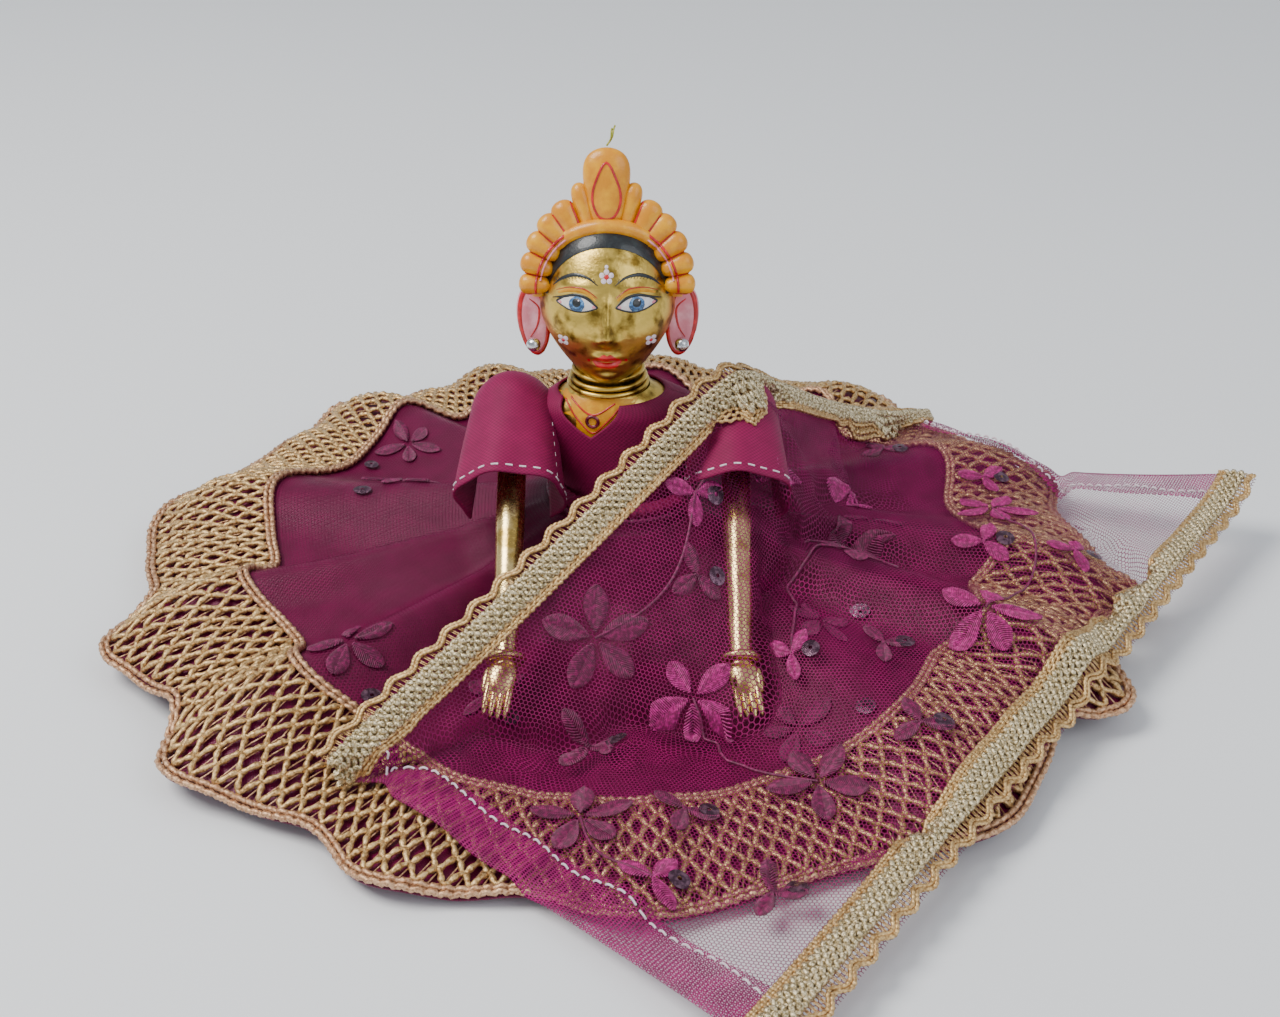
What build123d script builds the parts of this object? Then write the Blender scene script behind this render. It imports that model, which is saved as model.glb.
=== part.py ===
"""A dressed string-puppet doll without legs: painted brass figure, gathered skirt and net veil.

Millimetres. +Z is up, the doll faces -Y, and the origin is the middle of its foot, on the table.
"""

import os
from math import cos, exp, radians, sin, sqrt

from build123d import *

os.makedirs("parts", exist_ok=True)

# Figure: one brass casting from the foot to the neck
foot_radius = 15
foot_thickness = 2
foot_step = 2
hip_flare = 3
chest_top_share = 0.6
chest_top_width = 20
waist_height = 21
waist_width = 17
waist_depth = 13
shoulder_height = 31
shoulder_width = 25
shoulder_depth = 12
collar_height = 36
neck_radius = 5
neck_offset = -2.2

# Head: turns on a peg that is fixed in the neck
peg_radius = 2
peg_clearance = 0.05
peg_in_torso = 8
peg_in_head = 9
peg_end_gap = 1
head_gap = 0.1
head_tilt = 12
head_radius = 9.2
head_height = 25
chin_height = 37
ear_width = 3.4
ear_height = 10.5
ear_thickness = 3
ear_root = 0.6
ear_lobe_height = 40.5
lobe_share = 0.3
earring_radius = 0.9
earring_post = 0.4

# Crown: a fan of petals over the brow
crown_spread = 12.4
crown_rise = 20.8
crown_thickness = 5
crown_front = 4.5
petal_radius = 1.9
petals_each_side = 5
middle_petal_width = 8.6
brow_share = 0.3
first_petal_turn = 6
last_petal_turn = 68
thread_radius = 0.25
thread_length = 3
thread_slant = 0.35

# Arms: straight brass arms, each on a pin through the shoulder
arm_out = 15.9
arm_length = 47
arm_lean = 34.5
arm_radius = 2.15
wrist_radius = 1.75
eye_radius = 3.1
eye_cheek = 0.05
pin_radius = 1
pin_clearance = 0.05
pin_hole_gap = 0.1
pin_in_torso = 4
pin_head_radius = 1.9
pin_head_thickness = 0.7
washer_gap = 0.15
hand_length = 9
hand_width = 5
hand_thickness = 2.2
hand_root = 0.5
bangle_from_tip = 9
bangle_radius = 0.55

# Clothes on the figure
cloth = 0.8
bodice_ease = 0.9
bodice_bottom = 19
bodice_fullness = 1
bodice_neck_width = 13.75
bodice_neck_depth = 10.8
neckline_depth = 7
neckline_width = 13
sleeve_length = 15
sleeve_top_radius = 6.2
sleeve_hem_radius = 7.4
sleeve_lift = 5
waistband_height = 3
waistband_thickness = 1
tie_radius = 0.35

# Skirt: lining, net over it, and a broad lace border round the edge
skirt_layer = 0.4
border_layer = 0.9
hem_radius = 73
puff_radius = 56
puff_height = 9
border_width = 20
flutes = 13
flute_depth = 3.2
front_run = 24
front_spread = 42
front_low = 2
drop_share = 0.4
drop_radius_share = 0.3
drop_wave = 0.3
slope_share = 0.6
rim_share = 0.9
front_top = 0.62
front_upper = 0.8
front_lower = 1.45
ring_points = 104

# Veil: a strip of net with a braid along each long edge and a hem at each end
veil_front_length = 81
veil_rear_length = 66
veil_front_width = 74
veil_rear_width = 58
veil_thickness = 0.9
veil_gap = 2.4
veil_rest = 8.2
veil_outer_rest = 2.2
veil_front_heading = 223.4
veil_rear_heading = 54
front_hem_heading = -40
rear_hem_heading = -30
braid_width = 6.6
hem_width = 7
veil_crown = 2.6
veil_lead = 0.5


def save(part, name):
    """Labels one sub-part and writes its file."""
    part.label = name
    export_step(part, f"parts/{name}.step")


def share(low, high, part):
    """The value that lies this part of the way from low to high."""
    return low + (high - low) * part


sides = (("left", 1), ("right", -1))

# Torso: foot, waist, shoulders and collar in one casting
chest_top_height = share(shoulder_height, collar_height, chest_top_share)
torso_sections = (
    (foot_thickness, 0, 2 * (foot_radius - foot_step), 2 * (foot_radius - foot_step)),
    (waist_height / 2, 0, waist_width + hip_flare, waist_depth + hip_flare),
    (waist_height, 0, waist_width, waist_depth),
    (shoulder_height, 0, shoulder_width, shoulder_depth),
    (chest_top_height, neck_offset / 2, chest_top_width, shoulder_depth),
    (collar_height, neck_offset, 2 * neck_radius, 2 * neck_radius),
)
with BuildPart() as torso:
    Cylinder(foot_radius, foot_thickness, align=(Align.CENTER, Align.CENTER, Align.MIN))
    for height, offset_x, width, depth in torso_sections:
        with BuildSketch(Plane(origin=(offset_x, 0, height))):
            Ellipse(width / 2, depth / 2)
    loft(ruled=True)
    with BuildSketch(Plane(origin=(neck_offset, 0, collar_height - peg_in_torso))):
        Circle(peg_radius)
    extrude(amount=peg_in_torso, mode=Mode.SUBTRACT)
    for side, sign in sides:
        with BuildSketch(Plane.YZ.offset(sign * (shoulder_width / 2 - pin_in_torso))):
            with Locations((0, shoulder_height)):
                Circle(pin_radius)
        extrude(amount=sign * 2 * pin_in_torso, mode=Mode.SUBTRACT)
save(torso.part, "torso")

# Neck peg: pressed into the torso, and free in the head
with BuildPart() as neck_peg:
    with BuildSketch(Plane(origin=(neck_offset, 0, collar_height - peg_in_torso))):
        Circle(peg_radius)
    extrude(amount=peg_in_torso + peg_in_head)
save(neck_peg.part, "neck_peg")

# Head: a round face on a short neck, with an ear at each side, bored for the peg
head_bottom = collar_height + head_gap
head_middle = chin_height + head_height / 2
ear_across = head_radius + ear_width / 2 - ear_root
head_plane = Plane(origin=(neck_offset, 0, head_middle)).rotated((-head_tilt, 0, 0))
head_profile = Plane(origin=head_plane.origin, x_dir=head_plane.x_dir, z_dir=-head_plane.y_dir)
with BuildPart() as head:
    with BuildSketch(head_profile):
        Ellipse(head_radius, head_height / 2)
        Rectangle(head_radius, head_height, align=(Align.MAX, Align.CENTER), mode=Mode.SUBTRACT)
    revolve(axis=Axis(head_plane.origin, head_plane.z_dir))
    with BuildSketch(Plane(origin=(neck_offset, 0, head_bottom))):
        Circle(neck_radius)
    extrude(amount=head_middle - head_bottom)
    for side, sign in sides:
        ear_middle = (sign * ear_across, 0, ear_lobe_height + ear_height / 2 - head_middle)
        ear_plane = Plane(origin=head_plane.from_local_coords(ear_middle), x_dir=(1, 0, 0), z_dir=(0, -1, 0))
        with BuildSketch(ear_plane):
            Ellipse(ear_width / 2 + ear_root, ear_height / 2)
        extrude(amount=ear_thickness / 2, both=True)
    with BuildSketch(Plane(origin=(neck_offset, 0, head_bottom))):
        Circle(peg_radius + peg_clearance)
    extrude(amount=peg_in_head + peg_end_gap, mode=Mode.SUBTRACT)
save(head.part, "head")

# Earrings: a ball on the front of each ear lobe
for side, sign in sides:
    lobe = head_plane.from_local_coords(
        (sign * ear_across, 0, ear_lobe_height + ear_height * lobe_share - head_middle)
    )
    ball_front = lobe.Y - ear_thickness / 2 - earring_radius
    with BuildPart() as earring:
        with Locations((lobe.X, ball_front, lobe.Z)):
            Sphere(earring_radius)
        with BuildSketch(Plane(origin=(lobe.X, ball_front, lobe.Z), z_dir=(0, 1, 0))):
            Circle(earring_post)
        extrude(amount=earring_radius + ear_thickness)
        add(head.part, mode=Mode.SUBTRACT)
    save(earring.part, f"earring_{side}")

# Crown: petals round a fan, seated on the head
crown_plane = Plane(
    origin=head_plane.from_local_coords((0, -crown_front, 0)),
    x_dir=head_plane.x_dir,
    z_dir=-head_plane.y_dir,
)
brow_height = share(0, head_height / 2, brow_share)
fan_rise = crown_rise - middle_petal_width
with BuildPart() as crown:
    with BuildSketch(crown_plane):
        with Locations((0, brow_height)):
            Ellipse(crown_spread - petal_radius, fan_rise - brow_height)
            for index in range(petals_each_side):
                turn = radians(share(first_petal_turn, last_petal_turn, index / (petals_each_side - 1)))
                for sign in (1, -1):
                    across = sign * (crown_spread - petal_radius) * cos(turn)
                    with Locations((across, (fan_rise - brow_height) * sin(turn))):
                        Circle(petal_radius)
        with Locations((0, crown_rise - middle_petal_width)):
            Ellipse(middle_petal_width / 2, middle_petal_width)
        with Locations((0, brow_height - crown_spread)):
            Rectangle(4 * crown_spread, 2 * crown_spread, mode=Mode.SUBTRACT)
    extrude(amount=-crown_thickness)
    add(head.part, mode=Mode.SUBTRACT)
save(crown.part, "crown")

# Thread stub: the cut end of the head string, on the crown's tip
crown_tip = crown_plane.from_local_coords((0, crown_rise, -crown_thickness / 2))
with BuildPart() as string_stub:
    with BuildSketch(Plane(origin=crown_tip, z_dir=(thread_slant, 0, 1))):
        Circle(thread_radius)
    extrude(amount=thread_length)
    add(crown.part, mode=Mode.SUBTRACT)
save(string_stub.part, "string_stub")

# Arms, their pins and their bangles, one set each side
lean = Vector(0, -cos(radians(arm_lean)), -sin(radians(arm_lean)))
over_hand = Vector(0, -sin(radians(arm_lean)), cos(radians(arm_lean)))
eye_thickness = 2 * (arm_radius + eye_cheek)
eye_inside = arm_out - eye_thickness / 2
for side, sign in sides:
    shoulder = Vector(sign * arm_out, 0, shoulder_height)
    arm_plane = Plane(origin=shoulder, x_dir=(1, 0, 0), z_dir=lean)
    wrist = shoulder + lean * (arm_length - hand_length)
    palm = shoulder + lean * (arm_length - hand_length / 2)
    with BuildPart() as arm:
        with BuildSketch(arm_plane):
            Circle(arm_radius)
        with BuildSketch(Plane(origin=wrist, x_dir=(1, 0, 0), z_dir=lean)):
            Circle(wrist_radius)
        loft()
        with BuildSketch(Plane(origin=palm, x_dir=(1, 0, 0), z_dir=over_hand)):
            Ellipse(hand_width / 2, hand_length / 2 + hand_root)
        extrude(amount=hand_thickness / 2, both=True)
        with BuildSketch(Plane.YZ.offset(sign * eye_inside)):
            with Locations((0, shoulder_height)):
                Circle(eye_radius)
        extrude(amount=sign * eye_thickness)
        with BuildSketch(Plane.YZ.offset(sign * (eye_inside - pin_radius))):
            with Locations((0, shoulder_height)):
                Circle(pin_radius + pin_clearance)
        extrude(amount=sign * (eye_thickness + 2 * pin_radius), mode=Mode.SUBTRACT)
    save(arm.part, f"arm_{side}")

    with BuildPart() as shoulder_pin:
        with BuildSketch(Plane.YZ.offset(sign * (shoulder_width / 2 - pin_in_torso))):
            with Locations((0, shoulder_height)):
                Circle(pin_radius)
        extrude(amount=sign * (eye_inside + eye_thickness + washer_gap - shoulder_width / 2 + pin_in_torso))
        with BuildSketch(Plane.YZ.offset(sign * (eye_inside + eye_thickness + washer_gap))):
            with Locations((0, shoulder_height)):
                Circle(pin_head_radius)
        extrude(amount=sign * pin_head_thickness)
    save(shoulder_pin.part, f"shoulder_pin_{side}")

    bangle_at = shoulder + lean * (arm_length - bangle_from_tip)
    bangle_seat = share(arm_radius, wrist_radius, (arm_length - bangle_from_tip) / (arm_length - hand_length))
    with BuildPart() as bangle:
        with Locations(Plane(origin=bangle_at, z_dir=lean)):
            Torus(bangle_seat + bangle_radius, bangle_radius)
        add(arm.part, mode=Mode.SUBTRACT)
    save(bangle.part, f"bangle_{side}")

# Bodice: follows the chest, open at the neck and in a V in front
bodice_sections = (
    (bodice_bottom, 0, waist_width + bodice_fullness, waist_depth + bodice_fullness),
    (waist_height + bodice_fullness, 0, waist_width + bodice_fullness, waist_depth + bodice_fullness),
    (shoulder_height, 0, shoulder_width, shoulder_depth),
    (chest_top_height, neck_offset / 2, chest_top_width, shoulder_depth),
    (collar_height, neck_offset / 2, bodice_neck_width, bodice_neck_depth),
)
with BuildPart() as bodice:
    for height, offset_x, width, depth in bodice_sections:
        with BuildSketch(Plane(origin=(offset_x, 0, height))):
            Ellipse(width / 2 + bodice_ease, depth / 2 + bodice_ease)
    loft(ruled=True)
    add(torso.part, mode=Mode.SUBTRACT)
    add(neck_peg.part, mode=Mode.SUBTRACT)
    neckline_plane = Plane(origin=(neck_offset, 0, collar_height + cloth), x_dir=(1, 0, 0), z_dir=(0, -1, 0))
    with BuildSketch(neckline_plane):
        with BuildLine():
            Polyline((-neckline_width / 2, 0), (neckline_width / 2, 0), (0, -neckline_depth), close=True)
        make_face()
    extrude(amount=2 * shoulder_depth, mode=Mode.SUBTRACT)
    with BuildSketch(Plane(origin=(neck_offset, 0, shoulder_height))):
        Circle(neck_radius + cloth)
    extrude(amount=collar_height, mode=Mode.SUBTRACT)
    for side, sign in sides:
        with BuildSketch(Plane.YZ.offset(sign * shoulder_width / 4)):
            with Locations((0, shoulder_height)):
                Circle(pin_radius + pin_hole_gap)
        extrude(amount=sign * shoulder_width, mode=Mode.SUBTRACT)
save(bodice.part, "bodice")

# Sleeves: a flared cap round each arm, open below and towards the body
sleeve_lean = radians(arm_lean - sleeve_lift)
sleeve_opening = shoulder_width / 2 + bodice_ease
sleeve_inside = sleeve_top_radius - cloth
sleeve_run = Vector(0, -cos(sleeve_lean), -sin(sleeve_lean))
for side, sign in sides:
    shoulder = Vector(sign * arm_out, 0, shoulder_height)
    sleeve_plane = Plane(origin=shoulder, x_dir=(1, 0, 0), z_dir=sleeve_run.cross(Vector(1, 0, 0)))
    with BuildPart() as sleeve:
        with BuildSketch(sleeve_plane):
            with BuildLine():
                Line((0, sleeve_top_radius), (0, sleeve_inside))
                RadiusArc((0, sleeve_inside), (sleeve_inside, 0), sleeve_inside)
                Line((sleeve_inside, 0), (sleeve_hem_radius - cloth, -sleeve_length))
                Line((sleeve_hem_radius - cloth, -sleeve_length), (sleeve_hem_radius, -sleeve_length))
                Line((sleeve_hem_radius, -sleeve_length), (sleeve_top_radius, 0))
                RadiusArc((sleeve_top_radius, 0), (0, sleeve_top_radius), -sleeve_top_radius)
            make_face()
        revolve(axis=Axis(shoulder, sleeve_run))
        split(bisect_by=Plane.YZ.offset(sign * sleeve_opening), keep=Keep.TOP if sign > 0 else Keep.BOTTOM)
    save(sleeve.part, f"sleeve_{side}")

# Waistband over the bodice's edge, with its tie in a groove round it
band_bottom = waist_height - waistband_height
band_middle = waist_height - waistband_height / 2
band_radius = waist_width / 2 + bodice_ease + cloth + waistband_thickness
with BuildPart() as waist_tie:
    with Locations((0, 0, band_middle)):
        Torus(band_radius, tie_radius)
save(waist_tie.part, "waist_tie")

with BuildPart() as waistband:
    with BuildSketch(Plane.XY.offset(band_bottom)):
        Circle(band_radius)
    extrude(amount=waistband_height)
    add(bodice.part, mode=Mode.SUBTRACT)
    add(torso.part, mode=Mode.SUBTRACT)
    add(waist_tie.part, mode=Mode.SUBTRACT)
save(waistband.part, "waistband")

# Skirt: each face of a layer is the same fluted shape, a little larger than the one inside it
border_start = hem_radius - border_width
drop_height = share(puff_height, band_bottom, drop_share)
slope_height = share(front_low, puff_height, drop_share)
skirt_levels = (
    (band_bottom, band_radius, band_radius, 0),
    (drop_height, share(band_radius, puff_radius, drop_radius_share), front_run * front_top, drop_wave),
    (puff_height, puff_radius, front_run * front_upper, 1),
    (slope_height, share(puff_radius, hem_radius, slope_share), front_run, 1),
    (front_low, share(puff_radius, hem_radius, rim_share), front_run * front_lower, 1),
    (0, hem_radius, hem_radius, 1),
)


def front_dip(angle):
    """How far the skirt is pressed down: 1 in front, under the arms, and 0 at the sides and back."""
    return exp(-(((angle - 270) / front_spread) ** 4))


def skirt_ring(side_radius, front_radius, wave, grow):
    """The points of the fluted outline at one height."""
    points = []
    for index in range(ring_points):
        angle = 360 * index / ring_points
        dip = front_dip(angle)
        radius = share(side_radius, front_radius, dip) + grow
        radius += wave * flute_depth * (1 - dip / 2) * cos(radians(flutes * angle))
        points.append((radius * cos(radians(angle)), radius * sin(radians(angle))))
    return points


def skirt_shape(grow):
    """The solid under one face of the skirt, larger by grow."""
    with BuildPart(mode=Mode.PRIVATE) as shape:
        for height, side_radius, front_radius, wave in skirt_levels:
            with BuildSketch(Plane.XY.offset(height + grow if height else 0)):
                with BuildLine():
                    Spline(*skirt_ring(side_radius, front_radius, wave, grow), periodic=True)
                make_face()
        loft(ruled=True)
    return shape.part


under_lining = skirt_shape(0)
over_lining = skirt_shape(skirt_layer)
over_net = skirt_shape(2 * skirt_layer)
over_border = skirt_shape(2 * skirt_layer + border_layer)

with BuildPart() as skirt_lining:
    add(over_lining)
    add(under_lining, mode=Mode.SUBTRACT)
    Cylinder(band_radius, 4 * waist_height, mode=Mode.SUBTRACT)
save(skirt_lining.part, "skirt_lining")

with BuildPart() as skirt_net:
    add(over_net)
    add(over_lining, mode=Mode.SUBTRACT)
    Cylinder(band_radius, 4 * waist_height, mode=Mode.SUBTRACT)
save(skirt_net.part, "skirt_net")

with BuildPart() as skirt_border:
    add(over_border)
    add(over_net, mode=Mode.SUBTRACT)
    Cylinder(border_start, 4 * waist_height, mode=Mode.SUBTRACT)
save(skirt_border.part, "skirt_border")


# Veil: straight from the shoulder to the hems, over the arms and the skirt
def beyond(start, length, heading, height):
    """The point at this height, this far from start in a straight line, towards a heading in plan."""
    level = sqrt(length**2 - (height - start.Z) ** 2)
    turn = radians(heading)
    return Vector(start.X + level * cos(turn), start.Y + level * sin(turn), height)


veil_top = shoulder_height + sleeve_top_radius + veil_gap + veil_thickness / 2
knee = Vector(arm_out - veil_lead, -veil_lead, veil_top)
front_corner = beyond(knee, veil_front_length, veil_front_heading, veil_rest)
rear_corner = beyond(knee, veil_rear_length, veil_rear_heading, veil_rest)
front_outer = beyond(front_corner, veil_front_width, front_hem_heading, veil_outer_rest)
rear_outer = beyond(rear_corner, veil_rear_width, rear_hem_heading, veil_rest)
knee_share = veil_front_length / (veil_front_length + veil_rear_length)
knee_outer = front_outer + (rear_outer - front_outer) * knee_share + Vector(0, 0, veil_crown / 2)


def veil_line(across):
    """Front end, shoulder line and rear end of the veil, this far across from its inner edge."""
    lift = Vector(0, 0, veil_crown * 4 * across * (1 - across))
    front = front_corner + (front_outer - front_corner) * across
    middle = knee + (knee_outer - knee) * across + lift
    rear = rear_corner + (rear_outer - rear_corner) * across
    return front, middle, rear


def veil_strip(lines_across):
    """A strip of the veil between the first and last of these lines."""
    with BuildPart(mode=Mode.PRIVATE) as strip:
        for across in lines_across:
            front, middle, rear = veil_line(across)
            along = (rear - front).normalized()
            plane = Plane(origin=middle, x_dir=along, z_dir=along.cross(middle - front))
            front_flat, rear_flat = plane.to_local_coords(front), plane.to_local_coords(rear)
            front_mid, rear_mid = front_flat * 0.5, rear_flat * 0.5
            stations = (front_flat, front_mid, Vector(0, 0, 0), rear_mid, rear_flat)
            line = [(point.X, point.Y) for point in stations]
            half = veil_thickness / 2
            with BuildSketch(plane):
                with BuildLine():
                    Spline(*[(x, y + half) for x, y in line])
                    Spline(*[(x, y - half) for x, y in line])
                    Line((line[0][0], line[0][1] - half), (line[0][0], line[0][1] + half))
                    Line((line[-1][0], line[-1][1] - half), (line[-1][0], line[-1][1] + half))
                make_face()
        loft(ruled=True)
    return strip.part


inner_seam = braid_width / veil_front_width
outer_seam = 1 - inner_seam
seam_lines = [share(inner_seam, outer_seam, third / 3) for third in range(4)]
save(veil_strip((0, inner_seam)), "braid_inner")
save(veil_strip((outer_seam, 1)), "braid_outer")
net_strip = veil_strip(seam_lines)


def hem_plane(corner, outer, heading):
    """The upright plane of a hem's seam, with the middle of the veil in front of it."""
    inward = Vector(cos(radians(heading)), sin(radians(heading)), 0)
    along = (outer - corner).normalized()
    normal = Vector(-along.Y, along.X, 0).normalized()
    if normal.dot(inward) < 0:
        normal = normal * -1
    return Plane(origin=corner + normal * hem_width, z_dir=normal)


front_seam = hem_plane(front_corner, front_outer, veil_front_heading + 180)
rear_seam = hem_plane(rear_corner, rear_outer, veil_rear_heading + 180)
with BuildPart() as hem_front:
    add(net_strip)
    split(bisect_by=front_seam, keep=Keep.BOTTOM)
save(hem_front.part, "hem_front")

with BuildPart() as hem_rear:
    add(net_strip)
    split(bisect_by=rear_seam, keep=Keep.BOTTOM)
save(hem_rear.part, "hem_rear")

with BuildPart() as veil_net:
    add(net_strip)
    split(bisect_by=front_seam, keep=Keep.TOP)
    split(bisect_by=rear_seam, keep=Keep.TOP)
save(veil_net.part, "veil_net")
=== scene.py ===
# %% [markdown]
# # A dressed string-puppet doll
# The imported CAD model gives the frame: where every part sits and how it moves. This notebook puts the
# looks on it: painted brass, crochet lace, embroidered net and a veil that is draped by simulation.
# Everything is in metres, and `MM` turns millimetres into metres, because the doll is only 70 mm tall.

# %% load the frame
import math

import bpy
import numpy as np
from mathutils import Matrix, Vector
from mathutils.bvhtree import BVHTree


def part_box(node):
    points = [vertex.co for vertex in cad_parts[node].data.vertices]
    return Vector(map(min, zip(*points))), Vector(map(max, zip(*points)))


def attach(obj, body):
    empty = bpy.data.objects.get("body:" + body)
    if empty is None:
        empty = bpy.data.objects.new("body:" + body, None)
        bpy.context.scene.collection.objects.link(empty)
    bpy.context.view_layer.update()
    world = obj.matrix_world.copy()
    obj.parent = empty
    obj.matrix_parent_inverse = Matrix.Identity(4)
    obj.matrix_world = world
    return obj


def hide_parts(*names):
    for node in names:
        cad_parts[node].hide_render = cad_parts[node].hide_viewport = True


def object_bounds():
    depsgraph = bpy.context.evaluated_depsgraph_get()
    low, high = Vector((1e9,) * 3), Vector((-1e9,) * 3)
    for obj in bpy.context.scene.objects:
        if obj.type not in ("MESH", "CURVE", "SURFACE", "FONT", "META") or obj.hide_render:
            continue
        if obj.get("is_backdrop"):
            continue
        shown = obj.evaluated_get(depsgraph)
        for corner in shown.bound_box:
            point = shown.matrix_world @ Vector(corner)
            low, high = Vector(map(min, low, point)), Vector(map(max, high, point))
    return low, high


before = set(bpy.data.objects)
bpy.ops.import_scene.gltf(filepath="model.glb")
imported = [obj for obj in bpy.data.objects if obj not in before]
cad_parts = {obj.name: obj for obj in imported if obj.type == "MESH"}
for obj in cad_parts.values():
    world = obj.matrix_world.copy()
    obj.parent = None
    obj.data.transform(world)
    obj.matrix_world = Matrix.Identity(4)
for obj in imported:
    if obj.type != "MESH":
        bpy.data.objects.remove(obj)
cad_box = [list(corner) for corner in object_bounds()]
MM = 0.001
print("CAD box, mm:", [[round(value / MM, 1) for value in corner] for corner in cad_box])

# %% [markdown]
# ## Helpers for a bench of small pieces
# Operators act on whatever is selected, so each helper first clears the selection. Thread, cord and
# piping are curves with a round bevel, turned into a mesh by the convert operator. `finish` gives a
# piece its material and its body, and leaves the object at the origin with its place in its mesh.

# %% helpers
def clear():
    bpy.ops.object.select_all(action="DESELECT")


def only(obj):
    clear()
    obj.select_set(True)
    bpy.context.view_layer.objects.active = obj


def settle(obj):
    """Moves the object's place, turn and size into its mesh."""
    only(obj)
    bpy.ops.object.transform_apply(location=True, rotation=True, scale=True)
    return obj


def use_modifier(obj, kind, **values):
    """Adds a modifier, sets it and applies it."""
    only(obj)
    modifier = obj.modifiers.new(kind, kind)
    for key, value in values.items():
        setattr(modifier, key, value)
    bpy.ops.object.modifier_apply(modifier=modifier.name)


def finish(obj, name, material, body, smooth=True):
    obj.name = name
    obj.data.name = name
    obj.data.materials.clear()
    obj.data.materials.append(material)
    if smooth:
        obj.data.polygons.foreach_set("use_smooth", [True] * len(obj.data.polygons))
    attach(obj, body)
    return obj


def mesh_piece(points, faces, uvs=None):
    """A mesh object from points in metres, with an optional UV for each point."""
    mesh = bpy.data.meshes.new("piece")
    mesh.from_pydata([tuple(point) for point in points], [], faces)
    mesh.update()
    obj = bpy.data.objects.new("piece", mesh)
    bpy.context.scene.collection.objects.link(obj)
    if uvs is not None:
        layer = mesh.uv_layers.new(name="UVMap")
        corners = [index for polygon in mesh.polygons for index in polygon.vertices]
        layer.data.foreach_set("uv", np.array([uvs[index] for index in corners], np.float32).ravel())
    return obj


def threads(paths, radius, sides=1, closed=False):
    """Round threads along lists of points, as one mesh. A fourth value in a point is its thickness."""
    curve = bpy.data.curves.new("thread", "CURVE")
    curve.dimensions = "3D"
    curve.bevel_depth = radius
    curve.bevel_resolution = sides
    curve.use_fill_caps = True
    for path in paths:
        spline = curve.splines.new("POLY")
        spline.points.add(len(path) - 1)
        for point, place in zip(spline.points, path):
            point.co = (place[0], place[1], place[2], 1)
            point.radius = place[3] if len(place) > 3 else 1
        spline.use_cyclic_u = closed
    obj = bpy.data.objects.new("thread", curve)
    bpy.context.scene.collection.objects.link(obj)
    only(obj)
    bpy.ops.object.convert(target="MESH")
    return bpy.context.view_layer.objects.active


def ball(place, size, segments=16, rings=10):
    """A ball or a flattened ball, added at its place and size."""
    clear()
    bpy.ops.mesh.primitive_uv_sphere_add(
        segments=segments, ring_count=rings, radius=1, location=place, scale=size
    )
    return settle(bpy.context.active_object)


def skin_of(obj, place=Matrix()):
    """The surface of an object, to look up from, with its places moved by a matrix."""
    points = [place @ vertex.co for vertex in obj.data.vertices]
    return BVHTree.FromPolygons(points, [list(polygon.vertices) for polygon in obj.data.polygons])


def join(objects):
    clear()
    for obj in objects:
        obj.select_set(True)
    bpy.context.view_layer.objects.active = objects[0]
    bpy.ops.object.join()
    return bpy.context.view_layer.objects.active


# %% [markdown]
# ## Finishes
# Worn paint, brass, woven cloth and net share a few patterns, so those are node groups that put out
# only a mask or a colour. Each material keeps its own Principled shader, because that is what is
# exported. Cloth patterns read the UV map, which is laid out in millimetres on every sheet.

# %% node groups
def new_group(name, inputs, outputs):
    group = bpy.data.node_groups.new(name, "ShaderNodeTree")
    for label, kind, value in inputs:
        socket = group.interface.new_socket(label, in_out="INPUT", socket_type=kind)
        if value is not None:
            socket.default_value = value
    for label, kind in outputs:
        group.interface.new_socket(label, in_out="OUTPUT", socket_type=kind)
    return group, group.nodes.new("NodeGroupInput"), group.nodes.new("NodeGroupOutput")


def math_node(nodes, links, operation, first, second=None, clamp=False):
    node = nodes.new("ShaderNodeMath")
    node.operation = operation
    node.use_clamp = clamp
    for socket, value in zip(node.inputs, (first, second)):
        if value is None:
            continue
        if isinstance(value, (int, float)):
            socket.default_value = value
        else:
            links.new(value, socket)
    return node.outputs[0]


def vector_node(nodes, links, operation, first, second=None):
    node = nodes.new("ShaderNodeVectorMath")
    node.operation = operation
    for socket, value in zip(node.inputs, (first, second)):
        if value is None:
            continue
        if isinstance(value, tuple):
            socket.default_value = value
        else:
            links.new(value, socket)
    return node.outputs[1] if operation in ("DOT_PRODUCT", "LENGTH") else node.outputs[0]


def make_speckle_group():
    """Uneven blotches over fine grains, from the object's own coordinates."""
    group, entry, leave = new_group(
        "speckle",
        [
            ("Scale", "NodeSocketFloat", 900.0),
            ("Low", "NodeSocketFloat", 0.45),
            ("High", "NodeSocketFloat", 0.65),
        ],
        [("Mask", "NodeSocketFloat"), ("Fine", "NodeSocketFloat")],
    )
    nodes, links = group.nodes, group.links
    place = nodes.new("ShaderNodeTexCoord")
    for output, detail, times in (("Mask", 4.0, 1.0), ("Fine", 2.0, 6.0)):
        noise = nodes.new("ShaderNodeTexNoise")
        noise.inputs["Detail"].default_value = detail
        links.new(place.outputs["Object"], noise.inputs["Vector"])
        links.new(math_node(nodes, links, "MULTIPLY", entry.outputs["Scale"], times), noise.inputs["Scale"])
        if output == "Fine":
            links.new(noise.outputs["Fac"], leave.inputs[output])
            continue
        ramp = nodes.new("ShaderNodeMapRange")
        links.new(noise.outputs["Fac"], ramp.inputs["Value"])
        links.new(entry.outputs["Low"], ramp.inputs["From Min"])
        links.new(entry.outputs["High"], ramp.inputs["From Max"])
        links.new(ramp.outputs["Result"], leave.inputs[output])
    return group


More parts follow.
